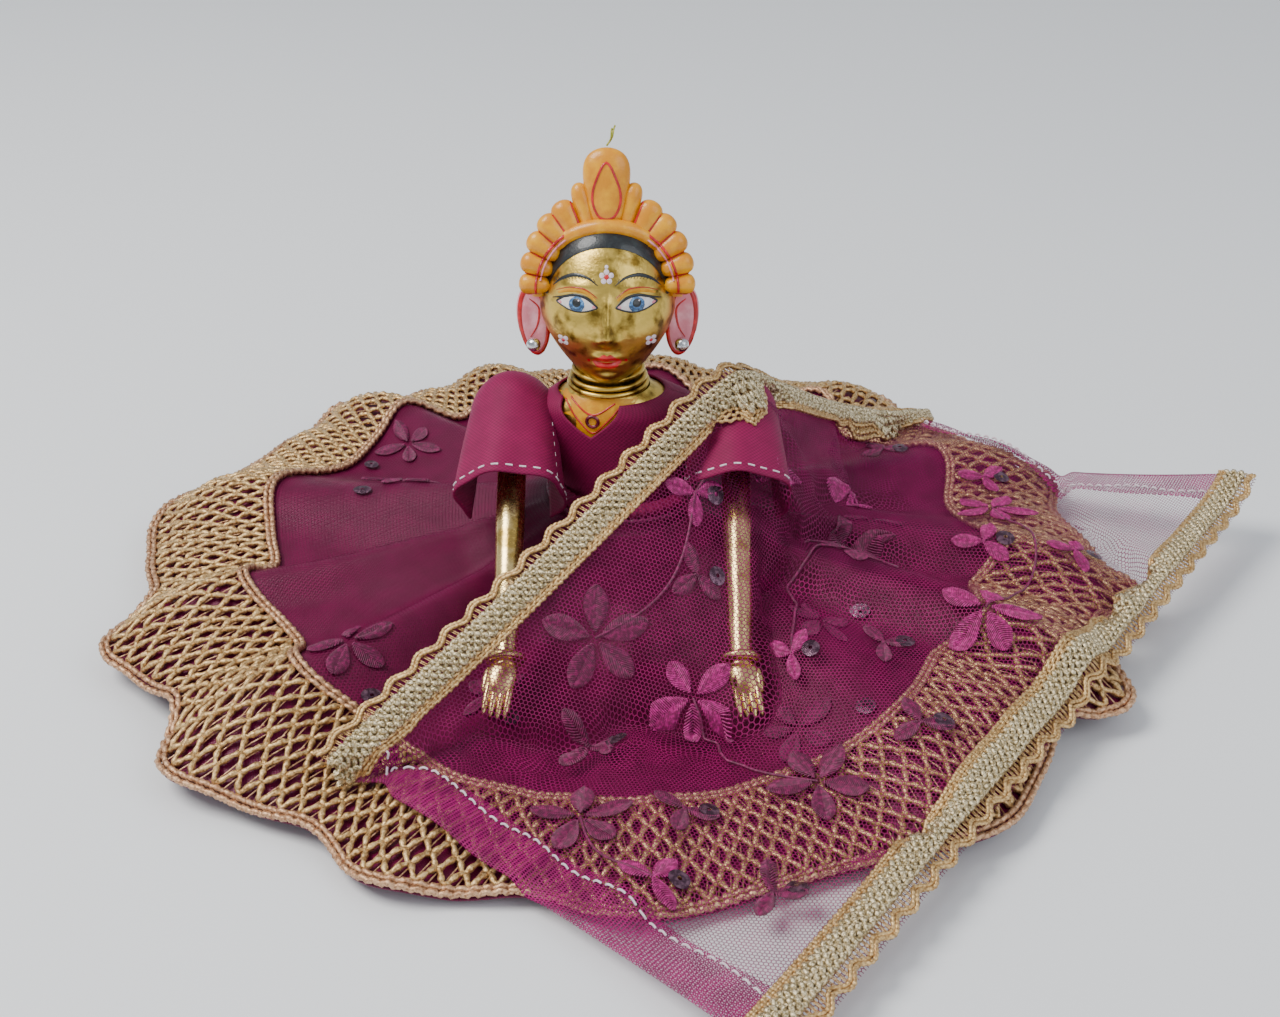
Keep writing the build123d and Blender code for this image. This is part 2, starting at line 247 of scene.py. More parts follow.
def make_net_group():
    """Six-sided meshes of fine thread, from UV in millimetres. Thread is 1 on a thread and 0 in a hole."""
    group, entry, leave = new_group(
        "net_mesh",
        [("Mesh", "NodeSocketFloat", 1.0), ("Thread", "NodeSocketFloat", 0.11)],
        [("Thread", "NodeSocketFloat")],
    )
    nodes, links = group.nodes, group.links
    uv = nodes.new("ShaderNodeUVMap")
    uv.uv_map = "UVMap"
    scaled = nodes.new("ShaderNodeVectorMath")
    scaled.operation = "DIVIDE"
    links.new(uv.outputs["UV"], scaled.inputs[0])
    size = nodes.new("ShaderNodeCombineXYZ")
    for axis in "XYZ":
        links.new(entry.outputs["Mesh"], size.inputs[axis])
    links.new(size.outputs[0], scaled.inputs[1])
    repeat, half = (1.0, math.sqrt(3), 1.0), (0.5, math.sqrt(3) / 2, 0.5)
    cells = []
    for shift in ((0.0, 0.0, 0.0), half):
        moved = vector_node(nodes, links, "SUBTRACT", scaled.outputs[0], shift)
        wrapped = nodes.new("ShaderNodeVectorMath")
        wrapped.operation = "WRAP"
        links.new(moved, wrapped.inputs[0])
        wrapped.inputs[1].default_value = repeat
        wrapped.inputs[2].default_value = (0.0, 0.0, 0.0)
        centred = vector_node(nodes, links, "SUBTRACT", wrapped.outputs[0], half)
        flat = vector_node(nodes, links, "MULTIPLY", centred, (1.0, 1.0, 0.0))
        size_of = vector_node(nodes, links, "LENGTH", flat)
        around = vector_node(nodes, links, "ABSOLUTE", flat)
        slanted = vector_node(nodes, links, "DOT_PRODUCT", around, (0.5, math.sqrt(3) / 2, 0.0))
        split = nodes.new("ShaderNodeSeparateXYZ")
        links.new(around, split.inputs[0])
        edge = math_node(nodes, links, "MAXIMUM", slanted, split.outputs["X"])
        cells.append((size_of, edge))
    nearer = math_node(nodes, links, "LESS_THAN", cells[0][0], cells[1][0])
    mix = nodes.new("ShaderNodeMix")
    links.new(nearer, mix.inputs["Factor"])
    links.new(cells[1][1], mix.inputs["A"])
    links.new(cells[0][1], mix.inputs["B"])
    to_edge = math_node(nodes, links, "SUBTRACT", 0.5, mix.outputs["Result"])
    links.new(math_node(nodes, links, "LESS_THAN", to_edge, entry.outputs["Thread"]), leave.inputs["Thread"])
    return group


def make_weave_group():
    """Plain over-and-under weave from UV in millimetres. Height is 1 on the crown of a yarn."""
    group, entry, leave = new_group(
        "plain_weave",
        [("Yarns", "NodeSocketFloat", 3.4)],
        [("Height", "NodeSocketFloat"), ("Slub", "NodeSocketFloat")],
    )
    nodes, links = group.nodes, group.links
    uv = nodes.new("ShaderNodeUVMap")
    uv.uv_map = "UVMap"
    split = nodes.new("ShaderNodeSeparateXYZ")
    links.new(uv.outputs["UV"], split.inputs[0])
    turn = math_node(nodes, links, "MULTIPLY", entry.outputs["Yarns"], math.pi)
    waves = [
        math_node(nodes, links, "SINE", math_node(nodes, links, "MULTIPLY", split.outputs[axis], turn))
        for axis in "XY"
    ]
    product = math_node(nodes, links, "MULTIPLY", waves[0], waves[1])
    links.new(math_node(nodes, links, "MULTIPLY_ADD", product, 0.5), leave.inputs["Height"])
    noise = nodes.new("ShaderNodeTexNoise")
    noise.inputs["Scale"].default_value = 0.35
    noise.inputs["Detail"].default_value = 5.0
    links.new(uv.outputs["UV"], noise.inputs["Vector"])
    links.new(noise.outputs["Fac"], leave.inputs["Slub"])
    return group


speckle_group = make_speckle_group()
net_group = make_net_group()
weave_group = make_weave_group()
print("node groups:", [group.name for group in bpy.data.node_groups])


# %% materials
def new_material(name, colour, roughness, metallic=0.0, **constants):
    material = bpy.data.materials.new(name)
    material.use_nodes = True
    shader = material.node_tree.nodes["Principled BSDF"]
    shader.inputs["Base Color"].default_value = (*colour, 1)
    shader.inputs["Roughness"].default_value = roughness
    shader.inputs["Metallic"].default_value = metallic
    for label, value in constants.items():
        shader.inputs[label.replace("_", " ")].default_value = value
    return material, material.node_tree.nodes, material.node_tree.links, shader


def place_group(nodes, group, **values):
    node = nodes.new("ShaderNodeGroup")
    node.node_tree = group
    for label, value in values.items():
        node.inputs[label].default_value = value
    return node


def mix_colours(nodes, links, factor, low, high):
    mix = nodes.new("ShaderNodeMix")
    mix.data_type = "RGBA"
    links.new(factor, mix.inputs["Factor"])
    for label, colour in (("A", low), ("B", high)):
        socket = [item for item in mix.inputs if item.name == label and item.type == "RGBA"][0]
        if isinstance(colour, tuple):
            socket.default_value = (*colour, 1)
        else:
            links.new(colour, socket)
    return [item for item in mix.outputs if item.type == "RGBA"][0]


def add_bump(nodes, links, shader, height, distance, strength=1.0):
    bump = nodes.new("ShaderNodeBump")
    bump.inputs["Distance"].default_value = distance
    bump.inputs["Strength"].default_value = strength
    links.new(height, bump.inputs["Height"])
    links.new(bump.outputs["Normal"], shader.inputs["Normal"])


GRAIN_HEIGHT = 0.00004


def speckled(name, low, high, roughness, metallic=0.0, scale=900.0, edges=(0.45, 0.65), **constants):
    """A finish whose colour wanders between two tones, with fine grains that catch the light."""
    material, nodes, links, shader = new_material(name, high, roughness, metallic, **constants)
    speckle = place_group(nodes, speckle_group, Scale=scale, Low=edges[0], High=edges[1])
    links.new(mix_colours(nodes, links, speckle.outputs["Mask"], low, high), shader.inputs["Base Color"])
    rough = math_node(nodes, links, "MULTIPLY_ADD", speckle.outputs["Fine"], 0.24)
    rough.node.inputs[2].default_value = roughness - 0.12
    links.new(rough, shader.inputs["Roughness"])
    add_bump(nodes, links, shader, speckle.outputs["Fine"], GRAIN_HEIGHT)
    return material


brass = speckled("worn_brass", (0.17, 0.10, 0.016), (0.72, 0.50, 0.11), 0.35, 1.0, 420.0, (0.33, 0.52))
bright_brass = speckled(
    "polished_brass", (0.50, 0.33, 0.09), (0.83, 0.62, 0.27), 0.27, 1.0, 300.0, (0.36, 0.5)
)
crown_yellow = speckled(
    "crown_yellow", (0.70, 0.26, 0.0), (0.86, 0.39, 0.0), 0.34, scale=500.0, Coat_Weight=0.15
)
lid_yellow = speckled("lid_yellow", (0.72, 0.29, 0.0), (0.85, 0.42, 0.005), 0.38, scale=900.0)
line_red = speckled(
    "line_red", (0.42, 0.004, 0.004), (0.66, 0.012, 0.014), 0.33, scale=900.0, Coat_Weight=0.3
)
lip_red = speckled("lip_red", (0.50, 0.004, 0.008), (0.72, 0.014, 0.02), 0.34, scale=900.0, Coat_Weight=0.5)
ear_pink = speckled("ear_pink", (0.75, 0.24, 0.30), (0.86, 0.40, 0.47), 0.40, scale=500.0)
hair_black = speckled(
    "hair_black", (0.004, 0.006, 0.008), (0.013, 0.02, 0.022), 0.36, scale=900.0, Coat_Weight=0.3
)
eye_white = speckled("eye_white", (0.72, 0.66, 0.64), (0.86, 0.85, 0.84), 0.30, scale=900.0, Coat_Weight=0.4)
iris_blue = speckled("iris_blue", (0.03, 0.12, 0.30), (0.12, 0.32, 0.60), 0.25, scale=2600.0, Coat_Weight=0.5)
silver = speckled("silver_ball", (0.55, 0.55, 0.57), (0.86, 0.86, 0.88), 0.18, 1.0)
ring_red = speckled("ring_red", (0.10, 0.0, 0.012), (0.24, 0.004, 0.03), 0.3, scale=900.0, Coat_Weight=0.5)
gold_thread = speckled("gold_thread", (0.34, 0.18, 0.06), (0.80, 0.55, 0.26), 0.34, 0.75, 2600.0, (0.35, 0.6))
copper_thread = speckled(
    "copper_thread", (0.34, 0.16, 0.08), (0.74, 0.46, 0.27), 0.36, 0.7, 2600.0, (0.35, 0.6)
)
pale_gold = speckled(
    "pale_gold_tinsel", (0.28, 0.21, 0.10), (0.82, 0.70, 0.46), 0.30, 0.8, 3600.0, (0.42, 0.56)
)
silk_dark = speckled(
    "silk_dark", (0.10, 0.001, 0.035), (0.27, 0.004, 0.10), 0.42, scale=2200.0, Sheen_Weight=0.1
)
silk_bright = speckled(
    "silk_bright", (0.24, 0.002, 0.09), (0.55, 0.012, 0.24), 0.40, scale=2200.0, Sheen_Weight=0.1
)
sequin_grey = speckled("sequin", (0.06, 0.025, 0.045), (0.20, 0.10, 0.15), 0.22, 0.7, 1500.0)
stitch_white = speckled("stitch_white", (0.72, 0.58, 0.64), (0.88, 0.80, 0.84), 0.6, scale=2500.0)
stub_green = speckled("stub_green", (0.34, 0.36, 0.04), (0.62, 0.58, 0.12), 0.7, scale=2500.0)


def make_cloth(name, low, high, roughness, yarns, sheen):
    material, nodes, links, shader = new_material(name, high, roughness, Sheen_Weight=sheen)
    shader.inputs["Specular IOR Level"].default_value = 0.3
    shader.inputs["Sheen Tint"].default_value = (1.0, 0.35, 0.7, 1)
    weave = place_group(nodes, weave_group, Yarns=yarns)
    # Painted light: the colour runs from the cloth's tone in shade, in the dips of the weave, to its tone in
    # light, on the crowns of the yarns; the slubs vary it at random.
    both = math_node(nodes, links, "MULTIPLY", weave.outputs["Slub"], weave.outputs["Height"], clamp=True)
    links.new(mix_colours(nodes, links, both, low, high), shader.inputs["Base Color"])
    add_bump(nodes, links, shader, weave.outputs["Height"], 0.00005, 0.7)
    return material


# For each cloth the first colour is its tone in shade and the second its tone in light, mixed by the weave as
# painted shade and highlight.
magenta_cloth = make_cloth("magenta_cloth", (0.15, 0.0005, 0.038), (0.37, 0.0015, 0.10), 0.62, 3.6, 0.04)
satin_lining = make_cloth("satin_lining", (0.10, 0.0005, 0.03), (0.24, 0.001, 0.068), 0.38, 5.0, 0.02)


def make_net(name, thread, colour):
    """Net is one thin sheet whose holes are cut by alpha, because its threads are too fine to model."""
    material, nodes, links, shader = new_material(name, colour, 0.6)
    shader.inputs["Specular IOR Level"].default_value = 0.25
    mesh = place_group(nodes, net_group, Mesh=0.58, Thread=thread)
    links.new(mesh.outputs["Thread"], shader.inputs["Alpha"])
    speckle = place_group(nodes, speckle_group, Scale=300.0, Low=0.4, High=0.6)
    pale = tuple(min(1.0, channel * 1.5) for channel in colour)
    links.new(mix_colours(nodes, links, speckle.outputs["Mask"], colour, pale), shader.inputs["Base Color"])
    return material


veil_net_finish = make_net("veil_net", 0.092, (0.17, 0.0015, 0.062))
skirt_net_finish = make_net("skirt_net", 0.09, (0.12, 0.001, 0.038))
print("materials:", len(bpy.data.materials))

# %% [markdown]
# ## A cloth as a grid
# Lace, braid, stitches and embroidery all lie on cloth. `Cloth` keeps a sheet as a grid of points and
# answers one question: where is the place so far along, so far across and so high above the sheet?
# Trimmings are then drawn flat, in millimetres, and follow every fold by themselves.

# %% cloth grid
class Cloth:
    def __init__(self, grid, wraps=False):
        self.grid = np.array(grid, float)
        self.wraps = wraps
        if wraps:
            self.grid = np.concatenate([self.grid, self.grid[:1]], axis=0)
        slope_along = np.gradient(self.grid, axis=0)
        slope_across = np.gradient(self.grid, axis=1)
        if wraps:
            slope_along[0] = slope_along[-1] = (slope_along[0] + slope_along[-1]) / 2
        normal = np.cross(slope_along, slope_across)
        normal /= np.maximum(np.linalg.norm(normal, axis=2, keepdims=True), 1e-12)
        self.normal = normal if normal[..., 2].mean() > 0 else -normal

    def read(self, table, along, across):
        rows, columns = table.shape[0] - 1, table.shape[1] - 1
        along = along % 1.0 if self.wraps else np.clip(along, 0, 1)
        i, j = along * rows, np.clip(across, 0, 1) * columns
        i0, j0 = np.minimum(i.astype(int), rows - 1), np.minimum(j.astype(int), columns - 1)
        a, b = (i - i0)[..., None], (j - j0)[..., None]
        near = table[i0, j0] * (1 - b) + table[i0, j0 + 1] * b
        far = table[i0 + 1, j0] * (1 - b) + table[i0 + 1, j0 + 1] * b
        return near * (1 - a) + far * a

    def at(self, along, across, lift=0.0):
        along, across = np.broadcast_arrays(np.asarray(along, float), np.asarray(across, float))
        lift = np.broadcast_to(np.asarray(lift, float), along.shape)[..., None]
        return self.read(self.grid, along, across) + self.read(self.normal, along, across) * lift * MM

    def mesh(self, size, lift=0.0, rows=None, columns=None, span=(0, 1, 0, 1)):
        """A sheet over part of the cloth. size is the whole cloth's, in millimetres, for the UV."""
        rows, columns = rows or self.grid.shape[0], columns or self.grid.shape[1]
        along, across = np.meshgrid(
            np.linspace(span[0], span[1], rows), np.linspace(span[2], span[3], columns), indexing="ij"
        )
        points = self.at(along, across, lift).reshape(-1, 3)
        uvs = np.stack([along * size[0], across * size[1]], axis=2).reshape(-1, 2)
        faces = []
        for i in range(rows - 1):
            for j in range(columns - 1):
                corner = i * columns + j
                faces.append((corner, corner + columns, corner + columns + 1, corner + 1))
        return mesh_piece(points, faces, uvs)


# %% [markdown]
# ## The skirt's shape
# A gathered skirt falls from a tight ring into flutes that open towards the hem. Here the arms press
# the front down, so the profile is blended between a puffed one and a flat one. The flutes are waves
# whose spacing wanders, because hand-drawn gathers are never even.

# %% skirt surface
band_low, band_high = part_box("waistband")
border_low, border_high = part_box("skirt_border")
band_radius = (band_high.x - band_low.x) / 2 / MM
hem_reach = (border_high.x - border_low.x) / 2 / MM
WAIST_Z = band_low.z / MM + 0.9
FLUTES = 13
FLUTE_WIDTH = 3.2
HEM_RADIUS = hem_reach - FLUTE_WIDTH - 0.6
BORDER_WIDTH = 20.0
PUFFED = (
    (band_radius, WAIST_Z), (25, 13.9), (40, 11.6), (55, 10.3), (63, 8.8), (69, 6.2), (72.5, 3.6), (76, 2.0),
)
PRESSED = (
    (band_radius, WAIST_Z), (16, 8.5), (24, 3.6), (34, 2.3), (50, 2.2), (60, 2.6), (70, 2.0), (76, 1.4),
)
PRESSED_MIDDLE = math.radians(270)
PRESSED_SPREAD = math.radians(42)


def skirt_surface(columns, rows, reach=1.0):
    angle = np.linspace(0, 2 * math.pi, columns, endpoint=False)[:, None]
    share = np.linspace(0, reach, rows)[None, :]
    from_front = (angle - PRESSED_MIDDLE) / PRESSED_SPREAD
    pressed = np.exp(-(from_front**4))
    phase = FLUTES * angle + 0.8 * np.sin(3 * angle + 0.6) + 0.5 * np.sin(5 * angle + 2.0)
    open_up = np.clip(share, 0, 1) ** 1.3
    wave = np.cos(phase) + 0.22 * np.cos(2 * phase + 1.2)
    radius = band_radius + (HEM_RADIUS - band_radius) * share
    radius = radius + FLUTE_WIDTH * open_up * wave * (1 - pressed * 0.4)
    height = np.interp(radius, *zip(*PUFFED)) * (1 - pressed) + np.interp(radius, *zip(*PRESSED)) * pressed
    fold = (0.35 + 1.9 * np.sin(math.pi * np.clip(share, 0, 1) ** 0.8)) * (1 - 0.6 * pressed)
    ripple = 0.3 * np.sin(2.2 * phase + 9 * share) * share
    crest = np.clip(share * 2.2 - 1.2, 0, 1.2) * 1.5 * np.maximum(wave, 0) * (1 - 0.5 * pressed)
    height = np.maximum(height + fold * wave * np.minimum(1, share * 6) + ripple + crest, 0.9)
    return np.stack([radius * np.cos(angle) * MM, radius * np.sin(angle) * MM, height * MM], axis=2)


skirt = Cloth(skirt_surface(720, 90), wraps=True)
SKIRT_ROUND = 2 * math.pi * (HEM_RADIUS - BORDER_WIDTH / 2)
SKIRT_DEPTH = HEM_RADIUS - band_radius
border_at = 1 - BORDER_WIDTH / SKIRT_DEPTH
print("skirt round the border, mm:", round(SKIRT_ROUND), "depth, mm:", round(SKIRT_DEPTH))

# %% [markdown]
# ## Lining and net of the skirt
# The lining is cut a little longer than the net, so a rim of satin shows below the lace where a flute
# lifts. The net is a separate sheet just above it.

# %% skirt sheets
def round_sheet(lift, columns, rows, span):
    sheet = skirt.mesh((SKIRT_ROUND, SKIRT_DEPTH), lift, columns + 1, rows, (0, 1, *span))
    only(sheet)
    bpy.ops.object.mode_set(mode="EDIT")
    bpy.ops.mesh.select_all(action="SELECT")
    bpy.ops.mesh.remove_doubles(threshold=0.00002)
    bpy.ops.object.mode_set(mode="OBJECT")
    return sheet


lining_sheet = round_sheet(-0.45, 540, 60, (0, 1))
lining = finish(lining_sheet, "skirt_lining_cloth", satin_lining, "figure")
use_modifier(lining, "SOLIDIFY", thickness=0.25 * MM, offset=-1)
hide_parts("skirt_lining")
overlay_sheet = round_sheet(0.0, 540, 50, (0, border_at + 0.04))
overlay = finish(overlay_sheet, "skirt_net_sheet", skirt_net_finish, "figure")
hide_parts("skirt_net")
print("skirt sheets:", len(lining.data.polygons), len(overlay.data.polygons))


# %% [markdown]
# ## The crochet lace border
# Crochet lace is chains of loops. Each chain here is a round cord that swings in a wave and swells at
# each loop; rows swing in opposite ways, so open diamonds are left between them. Fine threads cross
# the diamonds, and two ribbed cords close each edge.

# %% lace border
LACE_PITCH = 2.8
LACE_ROWS = 8
laps = round(SKIRT_ROUND / LACE_PITCH)
lace_inner, lace_outer = border_at, 1.0


def lace_path(depth, swing, phase, lift, step, swell=0.0, swell_rate=1.0):
    """A wave round the border: depth from its inner edge in shares of its width, swing in millimetres."""
    count = int(laps * step)
    turn = np.arange(count) / count
    wave = np.sin(2 * math.pi * (turn * laps + phase))
    across = lace_inner + (lace_outer - lace_inner) * depth + swing * wave / SKIRT_DEPTH
    rise = lift + 0.18 * np.cos(4 * math.pi * (turn * laps + phase))
    points = skirt.at(turn, np.clip(across, 0, 1), rise)
    thick = 1 + swell * np.cos(2 * math.pi * turn * laps * swell_rate)
    return np.concatenate([points, thick[:, None]], axis=1)


chains = []
for row in range(LACE_ROWS):
    depth = 0.13 + 0.74 * row / (LACE_ROWS - 1)
    chains.append(lace_path(depth, 1.05, 0.5 * (row % 2), 0.55, 14, 0.28, 4.5))
for index, half in enumerate((chains[:3], chains[3:6], chains[6:])):
    piece = threads(half, 0.42 * MM, 1, closed=True)
    finish(piece, f"lace_chains_{index}", gold_thread, "figure")
    if index == 0:
        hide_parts("skirt_border")
ribs = [lace_path(depth, 0.0, 0.0, 0.6, 10, 0.16, 5) for depth in (0.012, 0.052, 0.955, 0.998)]
edge_cords = threads(ribs, 0.42 * MM, 1, closed=True)
finish(edge_cords, "lace_edge_cords", copper_thread, "figure")
bars = []
for lap in range(laps * 2):
    turn = lap / (laps * 2)
    lean = 0.35 / laps
    for start, end, way in ((0.05, 0.52, lean), (0.48, 0.95, -lean)):
        depths = np.linspace(start, end, 6)
        across = lace_inner + (lace_outer - lace_inner) * depths
        bars.append(skirt.at(turn + way * np.linspace(-1, 1, 6), across, 0.3))
crossing = finish(threads(bars, 0.13 * MM, 0), "lace_crossing_threads", copper_thread, "figure")
print("lace laps:", laps, "faces:", [len(obj.data.polygons) for obj in (edge_cords, crossing)])


# %% [markdown]
# ## Draping the veil
# The veil lies from the left shoulder to the table, and its two braids are stiff, so it is simulated
# as cloth with the braided edges held and the net free between them. Collisions work badly on things
# a few millimetres across, so the bench is built twenty times larger and the result is shrunk again.

# %% veil frame
def corner_of(node, score):
    """The corner of a CAD node that scores highest."""
    return max((Vector(vertex.co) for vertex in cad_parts[node].data.vertices), key=score)


front_corner = corner_of("braid_inner", lambda p: -p.x + p.z * 0.1)
rear_corner = corner_of("braid_inner", lambda p: p.y + p.z * 0.1)
knee = corner_of("braid_inner", lambda p: p.z)
front_outer = corner_of("braid_outer", lambda p: -p.y - p.x * 0.05)
rear_outer = corner_of("braid_outer", lambda p: p.x + p.y * 0.3)
BRAID_WIDTH = 6.6
front_run, rear_run = (knee - front_corner).length, (rear_corner - knee).length
VEIL_LONG = (front_run + rear_run) / MM
VEIL_WIDE = (front_outer - front_corner).length / MM
knee_share = front_run / (front_run + rear_run)
print("veil, mm:", round(VEIL_LONG, 1), "by", round(VEIL_WIDE, 1), "shoulder at", round(knee_share, 2))
LIFT_OFF = Vector((0, 0, 0.0006))
VEIL_CREST = 0.0028


def veil_start(rows, columns):
    grid = np.zeros((rows, columns, 3))
    bend = 0.07
    for i in range(rows):
        share = i / (rows - 1)
        before = min(share, knee_share) / knee_share
        after = max(share - knee_share, 0) / (1 - knee_share)
        inner = front_corner.lerp(knee, before) if share < knee_share else knee.lerp(rear_corner, after)
        near = max(0.0, 1 - abs(share - knee_share) / bend)
        inner = inner - Vector((0, 0, 0.0016)) * near**2
        sag = math.sin(math.pi * before) * 0.0012 if share < knee_share else math.sin(math.pi * after) * 0.003
        inner = inner - Vector((0, 0, sag))
        outer = front_outer.lerp(rear_outer, share) + Vector((0, 0, 0.0004 * math.sin(9 * share)))
        for j in range(columns):
            across = j / (columns - 1)
            curl = max(0.0, (share - 0.92) / 0.08) ** 2 * max(0.0, (across - 0.7) / 0.3)
            crest = Vector((0, 0, VEIL_CREST * 4 * across * (1 - across)))
            grid[i, j] = inner.lerp(outer, across) + LIFT_OFF * (1 + 5 * curl) + crest
    return grid


BENCH = 20.0
FRAMES = 26


def drape(grid):
    """Lets the grid fall as cloth, held along both long edges, on the figure, the skirt and the table."""
    rows, columns = grid.shape[:2]
    scene = bpy.context.scene
    scene.frame_set(1)
    sheet = Cloth(grid).mesh((1, 1), 0, rows, columns)
    sheet.data.transform(Matrix.Scale(BENCH, 4))
    held = sheet.vertex_groups.new(name="held")
    edge = int(round(BRAID_WIDTH * 0.6 / VEIL_WIDE * (columns - 1)))
    for i in range(rows):
        for j in range(columns):
            if j <= edge or j >= columns - 1 - edge:
                held.add([i * columns + j], 1.0, "REPLACE")
    obstacles = []
    for node in ("torso", "bodice", "sleeve_left", "arm_left", "arm_right", "sleeve_right"):
        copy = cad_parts[node].copy()
        copy.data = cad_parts[node].data.copy()
        copy.parent = None
        bpy.context.scene.collection.objects.link(copy)
        obstacles.append(copy)
    obstacles.append(Cloth(skirt_surface(240, 30), wraps=True).mesh((1, 1), 1.5, 241, 30))
    clear()
    bpy.ops.mesh.primitive_grid_add(x_subdivisions=8, y_subdivisions=8, size=0.4, location=(0, 0, 0.0004))
    obstacles.append(settle(bpy.context.active_object))
    for obstacle in obstacles:
        obstacle.data.transform(Matrix.Scale(BENCH, 4))
        collision = obstacle.modifiers.new("Collision", "COLLISION")
        collision.settings.thickness_outer = 0.008
        collision.settings.cloth_friction = 20
    cloth = sheet.modifiers.new("Cloth", "CLOTH")
    cloth.settings.quality = 6
    cloth.settings.mass = 0.25
    cloth.settings.tension_stiffness = 30
    cloth.settings.compression_stiffness = 18
    cloth.settings.shear_stiffness = 12
    cloth.settings.bending_stiffness = 1.5
    cloth.settings.shrink_min = -0.004
    cloth.settings.vertex_group_mass = "held"
    cloth.collision_settings.distance_min = 0.012
    cloth.collision_settings.collision_quality = 3
    cloth.point_cache.frame_start, cloth.point_cache.frame_end = 1, FRAMES
    for number in range(1, FRAMES + 1):
        scene.frame_set(number)
    evaluated = sheet.evaluated_get(bpy.context.evaluated_depsgraph_get()).to_mesh()
    fallen = np.zeros(rows * columns * 3)
    evaluated.vertices.foreach_get("co", fallen)
    for obj in [sheet, *obstacles]:
        bpy.data.objects.remove(obj)
    scene.frame_set(1)
    return (fallen / BENCH).reshape(rows, columns, 3)


veil_grid = veil_start(86, 42)
veil_grid = drape(veil_grid)
LACE_TOP = 1.75
lace_top = Cloth(skirt_surface(360, 60), wraps=True).mesh((1, 1), LACE_TOP, 361, 60)
lace_skin = skin_of(lace_top)
bpy.data.objects.remove(lace_top)
floor_grid = np.full(veil_grid.shape[:2], 0.0009)
for row, column in np.ndindex(*floor_grid.shape):
    x, y, _ = veil_grid[row, column]
    hit = lace_skin.ray_cast(Vector((x, y, 0.1)), Vector((0, 0, -1)))[0]
    if hit is not None:
        floor_grid[row, column] = max(floor_grid[row, column], hit.z)
veil_grid[..., 2] = np.maximum(veil_grid[..., 2], floor_grid)
veil = Cloth(veil_grid)
drop = (veil_start(86, 42)[..., 2] - veil_grid[..., 2]).max() / MM
print("the net fell by up to", round(float(drop), 2), "mm")

# %% [markdown]
# ## Net, hems and braids of the veil
# The net is one continuous sheet. Each short end is folded over twice and topstitched, which makes it
# denser there. The gold braid is a band of tinsel loops between a scalloped double cord and a fine
# twisted edge, tied across by pairs of thin threads.

# %% veil sheets
sheet = veil.mesh((VEIL_LONG, VEIL_WIDE), 0, 172, 84)
veil_sheet = finish(sheet, "veil_net_sheet", veil_net_finish, "veil")
use_modifier(veil_sheet, "SUBSURF", levels=1, render_levels=1)
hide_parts("veil_net")
HEM = 7.4


def hem_fold(name, node, start, way):
    """A doubled strip along one short end, rounded over at the fold, with its own row of topstitch."""
    depth = HEM / VEIL_LONG
    steps = ((0.0, -0.25), (-0.0035, 0.1), (0.0, 0.42), (depth * 0.5, 0.5), (depth, 0.38), (depth, 0.12))
    across = np.linspace(BRAID_WIDTH / VEIL_WIDE * 0.75, 1 - BRAID_WIDTH / VEIL_WIDE * 0.75, 60)
    points, uvs, faces = [], [], []
    for column, place in enumerate(across):
        wobble = 0.0016 * math.sin(place * 23 + start * 4)
        for row, (inset, lift) in enumerate(steps):
            at_end = row in (3, 4, 5)
            along = start + way * (max(inset, 0) + (wobble if at_end else 0))
            point = veil.at(along, place, lift)
            if inset < 0:
                point = point - way * (veil.at(start + way * 0.01, place) - veil.at(start, place)) * 0.35
            points.append(point)
            uvs.append((inset * VEIL_LONG * 1.7, place * VEIL_WIDE))
            if column and row:
                corner = column * len(steps) + row
                faces.append((corner, corner - 1, corner - 1 - len(steps), corner - len(steps)))
    fold = finish(mesh_piece(points, faces, uvs), name, hem_finish, "veil")
    use_modifier(fold, "SUBSURF", levels=1, render_levels=1)
    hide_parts(node)
    stitches = []
    count = int(VEIL_WIDE / 1.9)
    for index in range(count):
        begin = across[0] + (across[-1] - across[0]) * index / count
        places = np.linspace(begin, begin + 0.62 * (across[-1] - across[0]) / count, 5)
        rise = 0.5 + 0.28 * np.sin(np.linspace(0, math.pi, 5))
        along = start + way * (depth * 0.82 + 0.0028 * np.sin(places * 31 + 1))
        stitches.append(veil.at(along, places, rise))
    thread = threads(stitches, 0.16 * MM, 1)
    finish(thread, f"{name}_topstitch", stitch_white, "veil")
    return fold, thread


hem_finish = make_net("hem_net", 0.17, (0.22, 0.002, 0.085))
front_fold, front_stitch = hem_fold("hem_front_fold", "hem_front", 0.0, 1)
rear_fold, rear_stitch = hem_fold("hem_rear_fold", "hem_rear", 1.0, -1)


# %% gold braid
SCALLOP = 5.0


